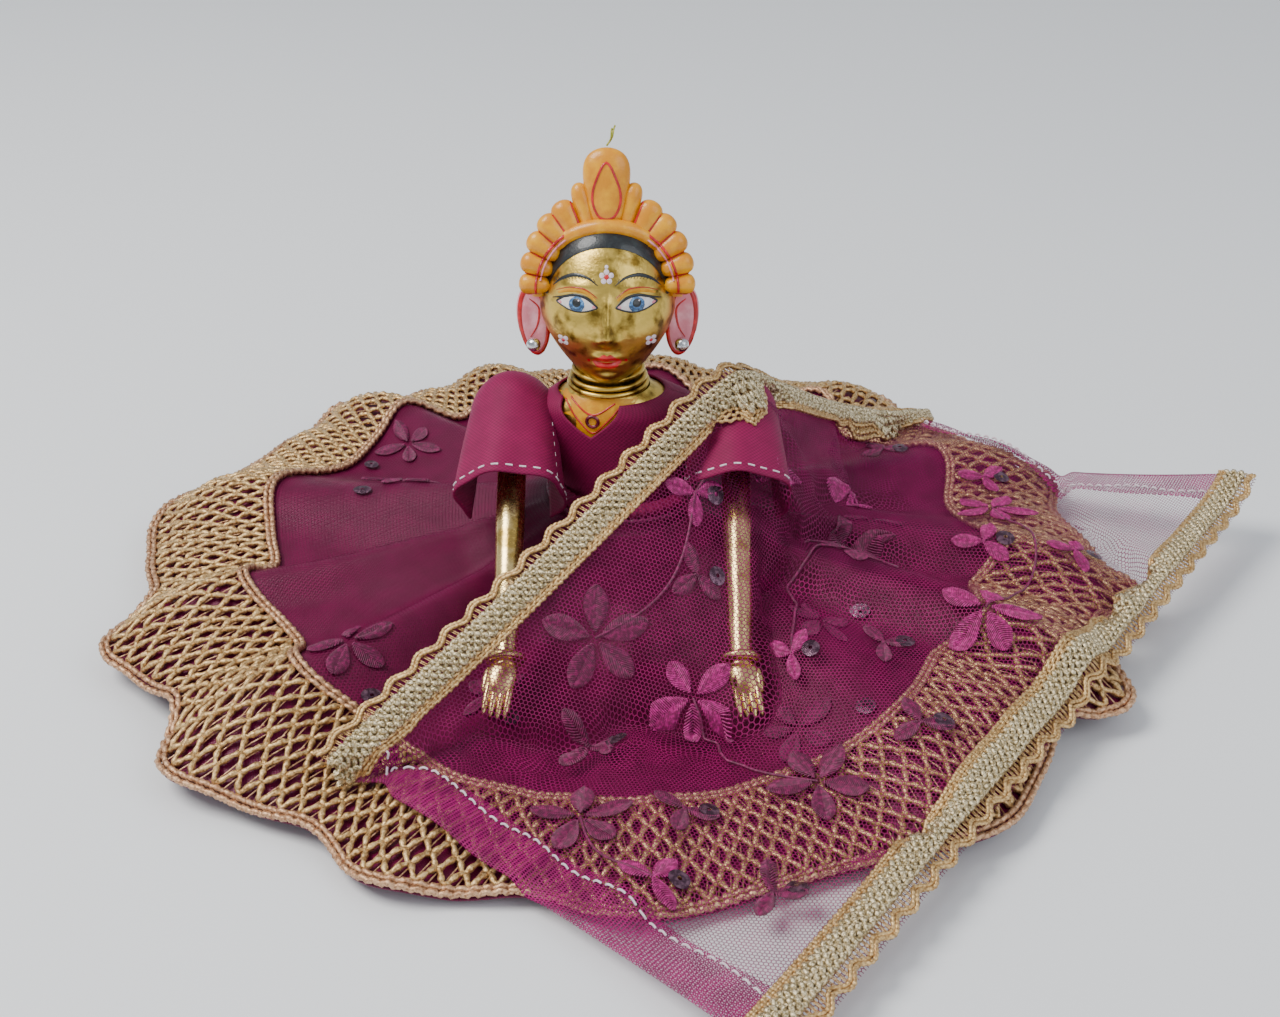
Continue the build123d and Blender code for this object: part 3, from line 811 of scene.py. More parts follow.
def braid(name, node, outer, inner):
    """Gold braid between two lines across the veil; outer is its scalloped edge. Shares of the width."""
    width = inner - outer
    length = np.arange(0, VEIL_LONG, 0.16)
    along = length / VEIL_LONG

    def line(depth, lift, wave=0.0, pitch=SCALLOP, phase=0.0, swell=0.0, beat=1.0, bob=0.0):
        turn = 2 * math.pi * (length / pitch + phase)
        across = outer + width * (depth + wave * np.sin(turn))
        rise = lift + bob * np.cos(turn)
        points = veil.at(along, np.clip(across, 0, 1), rise)
        overhang = outer + width * (depth + wave * np.sin(turn))
        beyond = np.where(overhang < 0, -overhang, np.where(overhang > 1, overhang - 1, 0))
        side = veil.at(along, 0.0 if outer < 0.5 else 1.0) - veil.at(along, 0.04 if outer < 0.5 else 0.96)
        points = points + side / 0.04 * beyond[:, None]
        return np.concatenate([points, (1 + swell * np.cos(2 * math.pi * length * beat))[:, None]], axis=1)

    scallops = [line(0.075 + gap, 0.75, 0.085, SCALLOP, 0, 0.18, 1.9, 0.12) for gap in (0, 0.085)]
    edge_places = ((0.86, 0), (0.93, 0.5), (0.99, 0))
    edges = [line(depth, 0.6, 0.012, 1.1, phase, 0.2, 1.8) for depth, phase in edge_places]
    cords = finish(threads(scallops + edges, 0.3 * MM, 1), f"{name}_cords", gold_thread, "veil")
    knots = [
        line(depth, 0.7, 0.05, 1.35, phase, 0.3, 1.48, 0.15)
        for depth, phase in ((0.42, 0), (0.52, 0.5), (0.62, 0.0), (0.72, 0.5), (0.79, 0))
    ]
    tinsel = finish(threads(knots, 0.36 * MM, 1), f"{name}_tinsel", pale_gold, "veil")
    rungs = []
    for start in np.arange(0.3, VEIL_LONG - 0.3, 0.85):
        for pair in (0, 0.26):
            across = outer + width * np.linspace(0.1, 0.9, 7)
            rungs.append(veil.at((start + pair) / VEIL_LONG, np.clip(across, 0, 1), 0.45))
    ladder = finish(threads(rungs, 0.1 * MM, 0), f"{name}_rungs", gold_thread, "veil")
    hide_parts(node)
    return cords, tinsel, ladder


braid_share = BRAID_WIDTH / VEIL_WIDE
inner_braid = braid("braid_inner", "braid_inner", 0.0, braid_share)
outer_braid = braid("braid_outer", "braid_outer", 1.0, 1 - braid_share)
print("braid faces:", [len(obj.data.polygons) for obj in inner_braid + outer_braid])

# %% [markdown]
# ## The head
# The face is one brass casting. It starts as a ball at the size of the CAD head, and soft pushes shape
# the nose, lips, lids, cheeks and chin, as a modeller adds pellets of wax. Everything painted is a thin
# skin of paint of its own: an outline is drawn flat and pressed on to the brass, so its edge is crisp.

# %% head shape
head_low, head_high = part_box("head")
HEAD_RADIUS, HEAD_HALF, HEAD_TILT = 9.2, 12.5, math.radians(12)
top_reach = math.hypot(HEAD_HALF * math.cos(HEAD_TILT), HEAD_RADIUS * math.sin(HEAD_TILT))
head_centre = Vector(((head_low.x + head_high.x) / 2, 0, head_high.z - top_reach * MM))
HEAD_PLACE = Matrix.Translation(head_centre) @ Matrix.Rotation(-HEAD_TILT, 4, "X") @ Matrix.Scale(MM, 4)

# centre across, centre up, spread across, spread up, push forward, all in millimetres
WAX = (
    (0.0, -0.6, 0.62, 2.2, 0.75),
    (0.0, -3.0, 0.85, 1.7, 1.35),
    (0.0, -4.4, 1.05, 0.85, 1.25),
    (1.25, -4.75, 0.6, 0.55, 0.55),
    (0.0, -7.25, 1.7, 0.5, 0.62),
    (1.0, -7.0, 0.8, 0.4, 0.22),
    (0.0, -8.55, 1.45, 0.55, 0.66),
    (0.0, -7.9, 2.3, 0.22, -0.5),
    (0.0, -9.6, 1.5, 0.4, -0.25),
    (0.0, -11.0, 1.8, 1.1, 0.7),
    (5.0, -4.4, 2.2, 2.2, 0.5),
    (4.0, 0.3, 2.7, 1.6, -0.75),
    (4.0, 0.2, 1.9, 1.05, 0.75),
    (4.1, 2.7, 2.8, 0.7, 0.35),
    (0.0, 2.2, 1.2, 1.0, -0.2),
)


def press_wax(x, z):
    total = 0.0
    for across, up, wide, high, push in WAX:
        for side in {across, -across}:
            total += push * math.exp(-(((x - side) / wide) ** 2) - ((z - up) / high) ** 2)
    return total


clear()
bpy.ops.mesh.primitive_uv_sphere_add(segments=144, ring_count=112, radius=1)
head = bpy.context.active_object
for vertex in head.data.vertices:
    x, y, z = vertex.co.x * HEAD_RADIUS, vertex.co.y * HEAD_RADIUS, vertex.co.z * HEAD_HALF
    jaw = max(0.0, (-1.5 - z) / 11)
    x *= 1 - 0.30 * jaw**1.6 + 0.03 * math.exp(-(((z + 2) / 4) ** 2))
    y *= 1 + 0.05 * math.sin(math.pi * min(1.0, max(0.0, (z + 12.5) / 25)))
    if y < 0:
        facing = min(1.0, -y / 4.5)
        y -= press_wax(x, z) * facing
    vertex.co = (x, y, z)
head_skin = skin_of(head)
head.data.transform(HEAD_PLACE)
finish(head, "head_casting", brass, "head")
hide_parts("head")
print("head centre, mm:", [round(value / MM, 2) for value in head_centre])


# %% paint skins
class Canvas:
    """Paint on the front of a shape. Places are (across, up) in millimetres on that shape."""

    def __init__(self, skin, place, depth=-30.0):
        self.skin, self.place, self.depth = skin, place, depth

    def press(self, across, up, lift):
        hit, normal, _, _ = self.skin.ray_cast(Vector((across, self.depth, up)), Vector((0, 1, 0)))
        if hit is None:
            hit, normal, _, _ = self.skin.find_nearest(Vector((across, 0, up)))
        if normal.y > 0:
            normal = -normal
        return self.place @ (hit + normal * lift)

    def patch(self, outline, lift, rings=5):
        centre = np.mean(np.array(outline, float), axis=0)
        count = len(outline)
        points, faces = [self.press(centre[0], centre[1], lift)], []
        for ring in range(1, rings + 1):
            for place in outline:
                spot = centre + (np.array(place) - centre) * ring / rings
                points.append(self.press(spot[0], spot[1], lift * (1 if ring < rings else 0.35)))
        for index in range(count):
            after = (index + 1) % count
            faces.append((0, 1 + index, 1 + after))
            for ring in range(rings - 1):
                inside, outside = 1 + ring * count, 1 + (ring + 1) * count
                faces.append((inside + index, outside + index, outside + after, inside + after))
        return mesh_piece(points, faces)

    def stroke(self, line, width, lift, taper=0.0, closed=False, steps=5):
        line = smooth_line(line, steps, closed)
        count = len(line)
        points, faces = [], []
        for index, place in enumerate(line):
            before = line[index - 1] if index or closed else line[index]
            after = line[(index + 1) % count] if index < count - 1 or closed else line[index]
            along = np.array(after) - np.array(before)
            side = np.array([-along[1], along[0]]) / max(np.hypot(*along), 1e-9)
            share = index / max(count - 1, 1)
            half = width / 2 * (1 - taper * abs(2 * share - 1) ** 1.5)
            for offset, rise in ((-1, 0.3), (-0.5, 1), (0.5, 1), (1, 0.3)):
                spot = np.array(place) + side * half * offset
                points.append(self.press(spot[0], spot[1], lift * rise))
        laps = count if closed else count - 1
        for index in range(laps):
            here, after = index * 4, ((index + 1) % count) * 4
            for column in range(3):
                faces.append((here + column, after + column, after + column + 1, here + column + 1))
        return mesh_piece(points, faces)


def smooth_line(line, steps, closed=False):
    """A rounded line through a few chosen places."""
    line = [np.array(place, float) for place in line]
    count = len(line)
    if count < 3:
        return [line[0] + (line[-1] - line[0]) * share for share in np.linspace(0, 1, steps + 1)]
    result = []
    for index in range(count if closed else count - 1):
        a = line[index - 1] if index or closed else 2 * line[0] - line[1]
        b, c = line[index], line[(index + 1) % count]
        d = line[(index + 2) % count] if index + 2 < count or closed else 2 * line[-1] - line[-2]
        for t in np.linspace(0, 1, steps, endpoint=False):
            bend = (2 * a - 5 * b + 4 * c - d) * t**2 + (3 * b - a - 3 * c + d) * t**3
            result.append(0.5 * (2 * b + (c - a) * t + bend))
    if not closed:
        result.append(line[-1])
    return result


def oval(across, up, wide, high, count=24, turn=0.0):
    places = []
    for index in range(count):
        angle = 2 * math.pi * index / count
        x, z = wide * math.cos(angle), high * math.sin(angle)
        turned_x = x * math.cos(turn) - z * math.sin(turn)
        turned_z = x * math.sin(turn) + z * math.cos(turn)
        places.append((across + turned_x, up + turned_z))
    return places


def almond(across, up, half_long, high, low, side, count=15):
    """An eye's outline: a tall upper lid, a shallow lower one, and the outer corner a little higher."""
    shares = np.linspace(-1, 1, count)
    upper = [(x, high * (1 - abs(x) ** 2.2)) for x in shares]
    lower = [(x, -low * (1 - abs(x) ** 2.0)) for x in shares[::-1][1:-1]]
    return [(across + side * x * half_long, up + z + 0.22 * x) for x, z in upper + lower]


def painted(name, parts, material, body="head"):
    return finish(join(parts) if len(parts) > 1 else parts[0], name, material, body)


# %% [markdown]
# ## The painted face
# The face is a calm doll's face on ordinary proportions: eyes halfway up the head, a long almond eye
# with a lined upper lid, a small full mouth, and festive dots on the brow and cheeks. Each colour is
# laid over the last one with a little more lift, as a painter waits for each coat to dry.

# %% eyes, brows, mouth and dots
face = Canvas(head_skin, HEAD_PLACE)
EYE_ACROSS, EYE_UP, EYE_HALF = 4.05, 0.2, 2.75
both_sides = (1, -1)
painted(
    "eye_whites",
    [face.patch(almond(s * EYE_ACROSS, EYE_UP, EYE_HALF, 1.25, 0.85, s), 0.05) for s in both_sides],
    eye_white,
)
painted("eye_corners", [
    face.patch(oval(s * (EYE_ACROSS + way * EYE_HALF * 0.83), EYE_UP + 0.16 * way, 0.34, 0.24, 12), 0.07, 2)
    for s in both_sides for way in (1, -1)
], ear_pink)
painted(
    "irises",
    [face.patch(oval(s * EYE_ACROSS, EYE_UP + 0.1, 1.16, 1.1), 0.09, 4) for s in both_sides],
    iris_blue,
)
rays = []
for s in both_sides:
    for index in range(17):
        angle = math.radians(190 + 160 * index / 16)
        start = (s * EYE_ACROSS + 0.62 * math.cos(angle), EYE_UP + 0.1 + 0.58 * math.sin(angle))
        end = (s * EYE_ACROSS + 1.08 * math.cos(angle), EYE_UP + 0.1 + 1.0 * math.sin(angle))
        rays.append(face.stroke([start, end], 0.07, 0.11, steps=2))
painted("iris_rays", rays, hair_black)
painted(
    "pupils",
    [face.patch(oval(s * EYE_ACROSS, EYE_UP + 0.32, 0.74, 0.72, 18), 0.12, 3) for s in both_sides],
    hair_black,
)
# A painted highlight: a small white dot high on each pupil stands for the reflection of the light.
painted(
    "eye_painted_highlights",
    [face.patch(oval(s * EYE_ACROSS + 0.3, EYE_UP + 0.62, 0.17, 0.17, 10), 0.15, 2) for s in both_sides],
    stitch_white,
)
dark, yellow, red, pink, white = [], [], [], [], []
for s in both_sides:
    lid_line = almond(s * EYE_ACROSS, EYE_UP, EYE_HALF, 1.27, 0.87, s, 11)
    dark.append(face.stroke(lid_line, 0.26, 0.1, closed=True))
    dark.append(face.stroke(
        [(s * (EYE_ACROSS - 2.9), EYE_UP - 0.25), (s * (EYE_ACROSS - 1.5), EYE_UP + 0.98),
         (s * (EYE_ACROSS + 0.2), EYE_UP + 1.34), (s * (EYE_ACROSS + 1.9), EYE_UP + 0.95),
         (s * (EYE_ACROSS + 3.3), EYE_UP + 0.62)], 0.42, 0.12, 0.7))
    yellow.append(face.stroke(
        [(s * (EYE_ACROSS - 2.6), EYE_UP + 0.7), (s * (EYE_ACROSS - 1.1), EYE_UP + 1.85),
         (s * (EYE_ACROSS + 0.8), EYE_UP + 1.98), (s * (EYE_ACROSS + 2.5), EYE_UP + 1.45)], 0.62, 0.07, 0.6))
    red.append(face.stroke(
        [(s * (EYE_ACROSS - 2.8), EYE_UP + 1.05), (s * (EYE_ACROSS - 1.1), EYE_UP + 2.25),
         (s * (EYE_ACROSS + 0.9), EYE_UP + 2.38), (s * (EYE_ACROSS + 2.8), EYE_UP + 1.75)], 0.17, 0.09, 0.5))
    dark.append(face.stroke(
        [(s * 1.15, 2.95), (s * 2.6, 3.95), (s * 4.4, 4.2), (s * 6.1, 3.55), (s * 7.3, 2.5)], 0.5, 0.1, 0.85))
    for index in range(13):
        share = index / 12
        start = (s * (1.5 + 5.2 * share), 2.6 + 1.15 * math.sin(math.pi * (0.25 + share * 0.62)))
        dark.append(face.stroke([start, (start[0] + s * 0.3, start[1] + 0.42)], 0.09, 0.05, steps=2))
    for index in range(4):
        angle = math.radians(45 + 90 * index)
        across, up = s * 6.0 + 0.52 * math.cos(angle), -5.0 + 0.52 * math.sin(angle)
        white.append(face.patch(oval(across, up, 0.36, 0.36, 12), 0.1, 2))
    red.append(face.patch(oval(s * 6.0, -5.0, 0.26, 0.26, 10), 0.15, 2))
    red.append(face.patch(oval(s * 2.55, -7.75, 0.26, 0.26, 10), 0.08, 2))
for index in range(5):
    angle = math.radians(90 + 72 * index)
    across, up = 0.66 * math.cos(angle), 4.1 + 0.66 * math.sin(angle)
    white.append(face.patch(oval(across, up, 0.36, 0.36, 12), 0.1, 2))
red.append(face.patch(oval(0, 4.1, 0.34, 0.34, 12), 0.14, 2))
white.append(face.patch(oval(0, 5.4, 0.26, 0.26, 10), 0.1, 2))
painted("eye_lines_and_brows", dark, hair_black)
painted("eyelids", yellow, lid_yellow)
painted("face_red_lines", red, line_red)
painted("brow_and_cheek_dots", white, stitch_white)
upper_lip = [
    (-2.2, -7.75), (-1.1, -7.05), (-0.45, -6.72), (0, -6.9), (0.45, -6.72), (1.1, -7.05), (2.2, -7.75),
    (1.0, -7.85), (0, -7.95), (-1.0, -7.85),
]
lower_lip = [
    (-2.0, -7.85), (-1.0, -7.92), (0, -8.02), (1.0, -7.92), (2.0, -7.85),
    (1.3, -8.75), (0, -9.1), (-1.3, -8.75),
]
painted("lips", [face.patch(smooth_line(line, 3, True), 0.07, 4) for line in (upper_lip, lower_lip)], lip_red)

# %% hair under the crown
HAIR_TURNS = np.radians((4, 20, 38, 56, 74, 90, 106, 124, 142, 160, 176))
HAIR = [(9.0 * math.cos(turn), 0.6 + 8.3 * math.sin(turn)) for turn in HAIR_TURNS]
painted("hair_line", [face.stroke(HAIR, 2.3, 0.22, 0.25)], hair_black)
print("face pieces laid on")

# %% [markdown]
# ## The crown
# Cast petals fan out round the brow, each a long rounded lobe, with a taller one in the middle. A plain
# round band joins their feet. The grooves between petals are picked out in red, pressed on to the cast.

# %% crown
PETAL_TURNS = [math.radians(angle) for angle in (4, 19, 34, 48, 61)]
CROWN_FRONT = -4.2
FAN_FOOT_UP = 1.6


def lobe(turn, start, reach, wide, thick=1.35, front=CROWN_FRONT):
    """One petal: a ball drawn out into a long lobe that points away from the fan's foot."""
    middle = (start + reach) / 2
    clear()
    bpy.ops.mesh.primitive_uv_sphere_add(segments=28, ring_count=24, radius=1)
    petal = bpy.context.active_object
    for vertex in petal.data.vertices:
        x, y, z = vertex.co
        full = max(0.0, 1 - abs(z) ** 3.4) ** 0.5 / max(1e-6, (1 - min(0.999999, z * z)) ** 0.5)
        vertex.co = (x * wide * full * (0.82 + 0.18 * z), y * thick * full, z * (reach - start) / 2)
    lean_back = (middle - 9) * 0.10
    shift = Vector((math.cos(turn) * middle, front + lean_back, FAN_FOOT_UP + math.sin(turn) * middle))
    petal.data.transform(HEAD_PLACE @ Matrix.Translation(shift) @ Matrix.Rotation(math.pi / 2 - turn, 4, "Y"))
    return petal


petals = []
for s in both_sides:
    for index, turn in enumerate(PETAL_TURNS):
        angle = turn if s > 0 else math.pi - turn
        petals.append(lobe(angle, 7.6, 12.1 + 1.9 * math.sin(turn) ** 1.5, 1.62 + 0.1 * index))
    petals.append(lobe(math.pi / 2 - s * math.radians(15.5), 7.6, 15.0, 1.5))
petals.append(lobe(math.pi / 2, 7.8, 19.2, 3.7, 1.6, CROWN_FRONT - 0.5))
backs = []
for s in both_sides:
    for turn in PETAL_TURNS + [math.radians(75)]:
        angle = turn if s > 0 else math.pi - turn
        backs.append(lobe(angle, 5.5, 11.0, 2.4, 1.3, CROWN_FRONT + 2.0))
crown = finish(join(petals + backs), "crown_petals", crown_yellow, "head")
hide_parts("crown")
fan = Canvas(skin_of(crown, HEAD_PLACE.inverted()), HEAD_PLACE)


def arc(radius, start, end, count, squash=1.0):
    angles = np.linspace(math.radians(start), math.radians(end), count)
    return [(radius * math.cos(a), FAN_FOOT_UP + radius * squash * math.sin(a)) for a in angles]


band_line = smooth_line(arc(9.35, -8, 188, 25, 0.93), 3)
band_path = [HEAD_PLACE @ Vector((x, CROWN_FRONT - 1.2 + 0.035 * x * x, z)) for x, z in band_line]
band = finish(threads([band_path], 1.15 * MM, 4), "crown_band", crown_yellow, "head")
grooves = []
edges = [math.radians(angle) for angle in (-3.5, 11.5, 26.5, 41, 54.5, 67.5)]
for s in both_sides:
    for turn in edges:
        angle = turn if s > 0 else math.pi - turn
        reach = 11.4 + 1.8 * math.sin(turn) ** 2
        spots = [(r * math.cos(angle), FAN_FOOT_UP + r * math.sin(angle)) for r in (9.4, 10.2, reach)]
        grooves.append(fan.stroke(spots, 0.3, 0.10, 0.3, steps=5))
grooves.append(fan.stroke(arc(9.75, -4, 184, 25, 0.95), 0.42, 0.2, 0.2, steps=4))
drop_half = [(1.5, 16.2), (1.9, 13.9), (1.2, 11.9)]
drop_line = [(0, 18.9), *drop_half, (0, 11.3), *[(-x, z) for x, z in reversed(drop_half)]]
grooves.append(fan.stroke(drop_line, 0.34, 0.14, closed=True))
painted("crown_red_lines", grooves, line_red)
painted("crown_pink_line", [fan.stroke(arc(9.2, 8, 172, 23, 0.95), 0.3, 0.3, 0.2, steps=4)], ear_pink)

# %% [markdown]
# ## Ears and earrings
# Each ear is a dished oval painted pink, with a red rim and a red curl inside. A silver ball on a post
# hangs at the lobe.

# %% ears
EAR_ACROSS, EAR_UP = 10.3, -3.4
for side, s in (("left", 1), ("right", -1)):
    ear = ball((0, 0, 0), (2.35, 1.35, 5.1), 36, 24)
    for vertex in ear.data.vertices:
        dish = math.exp(-((vertex.co.x / 1.35) ** 2) - (vertex.co.z / 3.5) ** 2)
        if vertex.co.y < 0:
            vertex.co.y += 0.75 * dish
        vertex.co.x *= 1 - 0.05 * vertex.co.z * -0.5
    ear.data.transform(Matrix.Translation((s * EAR_ACROSS, -0.3, EAR_UP)) @ Matrix.Rotation(s * 0.10, 4, "Y"))
    ear_skin = skin_of(ear)
    ear.data.transform(HEAD_PLACE)
    finish(ear, f"ear_{side}", ear_pink, "head")
    shell = Canvas(ear_skin, HEAD_PLACE)
    rim = oval(s * EAR_ACROSS, EAR_UP, 1.95, 4.65, 18, -s * 0.10)
    curl = [(s * (EAR_ACROSS + 0.6), EAR_UP + 3.1), (s * (EAR_ACROSS - 0.7), EAR_UP + 1.8),
            (s * (EAR_ACROSS - 0.5), EAR_UP - 0.6), (s * (EAR_ACROSS + 0.5), EAR_UP - 2.3)]
    ear_lines = [shell.stroke(rim, 0.62, 0.12, closed=True), shell.stroke(curl, 0.3, 0.1, 0.6)]
    painted(f"ear_{side}_red", ear_lines, line_red)
    post_low, post_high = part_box(f"earring_{side}")
    ball_place = (post_low + post_high) / 2 - Vector((0, 0.0006, 0))
    stud = ball(ball_place, (1.0 * MM, 1.0 * MM, 1.0 * MM), 24, 16)
    collar = ball(ball_place + Vector((0, 0.0010, 0)), (0.6 * MM, 0.35 * MM, 0.6 * MM), 16, 8)
    stud = finish(join([stud, collar]), f"earring_{side}_ball", silver, "head")
    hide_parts(f"earring_{side}")

# %% neck rings and thread stub
neck_x = head_centre.x / MM
rings = []
for height, radius, thick in ((38.6, 4.9, 0.34), (37.4, 5.2, 0.38), (36.5, 5.5, 0.4)):
    ring = []
    for turn in np.linspace(0, 2 * math.pi, 49)[:-1]:
        x, y = neck_x + radius * math.cos(turn), radius * math.sin(turn)
        ring.append((x * MM, y * MM, height * MM, thick))
    rings.append(ring)
clear()
bpy.ops.mesh.primitive_cylinder_add(
    vertices=64, radius=4.7 * MM, depth=8 * MM, location=(neck_x * MM, 0, head_low.z + 4 * MM)
)
neck = settle(bpy.context.active_object)
neck_ring = threads(rings, 1.0 * MM, 3, closed=True)
finish(join([neck, neck_ring]), "neck_rings", brass, "head")
stub_low, stub_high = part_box("string_stub")
stub_path = [
    (stub_low.x + 0.0002 + (stub_high.x - stub_low.x) * t + 0.0002 * math.sin(5 * t),
     (stub_low.y + stub_high.y) / 2 + 0.0001 * math.sin(9 * t), stub_low.z + (stub_high.z - stub_low.z) * t)
    for t in np.linspace(0, 0.95, 12)
]
twin = [(x - 0.0004 * t, y, z - 0.0004 * t) for (x, y, z), t in zip(stub_path, np.linspace(0, 1, 12))]
stub = finish(threads([stub_path, twin], 0.13 * MM, 1), "thread_stub", stub_green, "head")
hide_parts("string_stub")
print("head, crown and ears made")

# %% [markdown]
# ## The body, bodice and sleeves
# Body and bodice share one profile, read at any height, so the cloth follows the chest with the same
# small gap all round. The sleeve is a cap: a dome over the shoulder that opens into a flared cuff.

# %% body
PROFILE = np.array((
    (2.0, 0.0, 13.0, 13.0), (10.5, 0.0, 10.0, 8.5), (21.0, 0.0, 8.5, 6.5),
    (31.0, 0.0, 12.5, 6.0), (34.0, -1.1, 10.0, 6.0), (36.0, -2.2, 5.0, 5.0),
))
BODICE_LOW = 18.6


def profile_at(height, ease):
    """Middle, half width and half depth of the body at a height, rounded over a little way up and down."""
    nearby = height + np.linspace(-1.1, 1.1, 7)
    middle, wide, deep = (np.interp(nearby, PROFILE[:, 0], PROFILE[:, column]).mean() for column in (1, 2, 3))
    return middle, wide + ease, deep + ease


def body_shell(low, top_at, ease, rows, columns):
    """A shell round the body from low to a top edge that changes with the direction."""
    points, faces, uvs = [], [], []
    for row in range(rows):
        for column in range(columns):
            angle = 2 * math.pi * column / columns
            height = low + (top_at(angle) - low) * row / (rows - 1)
            middle, wide, deep = profile_at(height, ease)
            points.append(Vector((middle + wide * math.cos(angle), deep * math.sin(angle), height)) * MM)
            uvs.append((column / columns * 66, height))
            if row:
                after = row * columns + (column + 1) % columns
                faces.append((row * columns + column, after, after - columns, (row - 1) * columns + column))
    return mesh_piece(points, faces, uvs)


NECK_TIP = -4.4


def neckline(angle):
    front = max(0.0, -math.sin(angle))
    across = 12.0 * math.cos(angle)
    dip = max(0.0, 1 - abs(across - NECK_TIP) / 6.2) if front > 0.3 else 0.0
    return 35.3 - 5.0 * dip


body = body_shell(2.0, lambda angle: 36.0, 0.0, 60, 72)
clear()
bpy.ops.mesh.primitive_cylinder_add(vertices=96, radius=15 * MM, depth=2 * MM, location=(0, 0, MM))
foot = settle(bpy.context.active_object)
body = finish(join([body, foot]), "body_casting", brass, "figure")
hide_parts("torso")
chest = Canvas(skin_of(body, Matrix.Scale(1 / MM, 4)), Matrix.Scale(MM, 4))
CHEST = [(-9.6, 35.1), (-4.4, 29.6), (1.6, 35.1), (1.0, 35.7), (-2.2, 35.9), (-6.6, 35.7)]
painted("chest_paint", [chest.patch(smooth_line(CHEST, 3, True), 0.1, 5)], lid_yellow, "figure")
chest_lines = [
    chest.stroke([(-8.2, 34.9), (-6.2, 32.4), (-4.4, 30.8), (-2.6, 32.4), (-0.4, 34.9)], 0.28, 0.2),
    chest.stroke([(-7.4, 35.3), (-4.4, 33.6), (-1.2, 35.3)], 0.3, 0.2),
]
painted("chest_red_lines", chest_lines, line_red, "figure")
pendant = chest.stroke(oval(-4.4, 32.6, 0.8, 0.8, 14), 0.5, 0.3, closed=True)
painted("pendant_ring", [pendant], ring_red, "figure")
bodice_shell = body_shell(BODICE_LOW, neckline, 0.75, 46, 120)
bodice_cloth = finish(bodice_shell, "bodice_cloth", magenta_cloth, "figure")
use_modifier(bodice_cloth, "SOLIDIFY", thickness=0.3 * MM, offset=0)
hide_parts("bodice")

# %% sleeves
SLEEVE_RUN, SLEEVE_TOP, SLEEVE_FLARE = 14.6, 6.1, 1.5
LEAN = math.radians(29.5)
RUN_WAY = Vector((0, -math.cos(LEAN), -math.sin(LEAN)))
OVER_WAY = Vector((0, -math.sin(LEAN), math.cos(LEAN)))
sleeves = []
for side, s in (("left", 1), ("right", -1)):
    shoulder = Vector((s * 15.9, 0, 31))
    points, faces, uvs, hem = [], [], [], []
    ROWS, COLUMNS = 40, 72
    for row in range(ROWS):
        share = row / (ROWS - 1)
        bend = max(0.0, 1 - share / 0.36)
        run = -SLEEVE_TOP * math.sin(bend * math.pi / 2) if bend else (share - 0.36) / 0.64 * SLEEVE_RUN
        open_up = max(0.0, share - 0.36) / 0.64
        for column in range(COLUMNS):
            turn = math.radians(-130 + 260 * column / (COLUMNS - 1))
            radius = SLEEVE_TOP * math.cos(bend * math.pi / 2) + SLEEVE_FLARE * open_up
            radius += 0.32 * open_up * math.sin(6 * turn + 0.8 + s) + 0.12 * math.sin(3 * turn + 5 * share)
            around = Vector((s, 0, 0)) * math.sin(turn) + OVER_WAY * math.cos(turn)
            points.append((shoulder + RUN_WAY * run + around * max(radius, 0.05)) * MM)
            uvs.append((column / COLUMNS * 28, share * 22))
            if row and column:
                corner = row * COLUMNS + column
                faces.append((corner, corner - 1, corner - 1 - COLUMNS, corner - COLUMNS))
            if row == ROWS - 3:
                hem.append(points[-1] + around * 0.2 * MM)
    sleeve = mesh_piece(points, faces, uvs)
    finish(sleeve, f"sleeve_{side}_cloth", magenta_cloth, "figure")
    use_modifier(sleeve, "SOLIDIFY", thickness=0.3 * MM, offset=0)
    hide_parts(f"sleeve_{side}")
    seam_column = 18 if s < 0 else 16
    seam = [points[row * COLUMNS + seam_column] + OVER_WAY * 0.25 * MM for row in range(14, ROWS - 1)]
    stitches = [hem[index:index + 3] for index in range(6, COLUMNS - 8, 4)]
    stitches += [seam[index:index + 2] for index in range(0, len(seam) - 2, 3)]
    thread = threads(stitches, 0.14 * MM, 1)
    finish(thread, f"sleeve_{side}_topstitch", stitch_white, "figure")
    sleeves.append((sleeve, thread))

# %% waistband
turns = np.linspace(0, 2 * math.pi, 181)[:-1]
points, faces, uvs = [], [], []
BAND_PROFILE = (
    (17.6, 10.1), (17.9, 11.0), (18.7, 11.25), (19.2, 10.8),
    (19.8, 10.8), (20.3, 11.2), (21.0, 10.9), (21.3, 9.4),
)
for height, radius in BAND_PROFILE:
    for turn in turns:
        reach = radius + 0.16 * math.sin(42 * turn + 2 * math.sin(5 * turn))
        points.append((reach * math.cos(turn) * MM, reach * math.sin(turn) * MM, height * MM))
        uvs.append((turn * 11, height))
for row in range(1, len(BAND_PROFILE)):
    for column in range(180):
        after = row * 180 + (column + 1) % 180
        faces.append((row * 180 + column, (row - 1) * 180 + column, after - 180, after))
gathers = mesh_piece(points, faces, uvs)
finish(gathers, "waistband_gathers", magenta_cloth, "figure")
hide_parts("waistband")
TIE_REACH = 11.15 * MM
laid = [
    (TIE_REACH * math.cos(turn), TIE_REACH * math.sin(turn), (19.5 + 0.12 * math.sin(60 * turn)) * MM)
    for turn in turns
]
tie = finish(threads([laid], 0.32 * MM, 2, closed=True), "waist_tie_cord", silk_dark, "figure")
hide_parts("waist_tie")

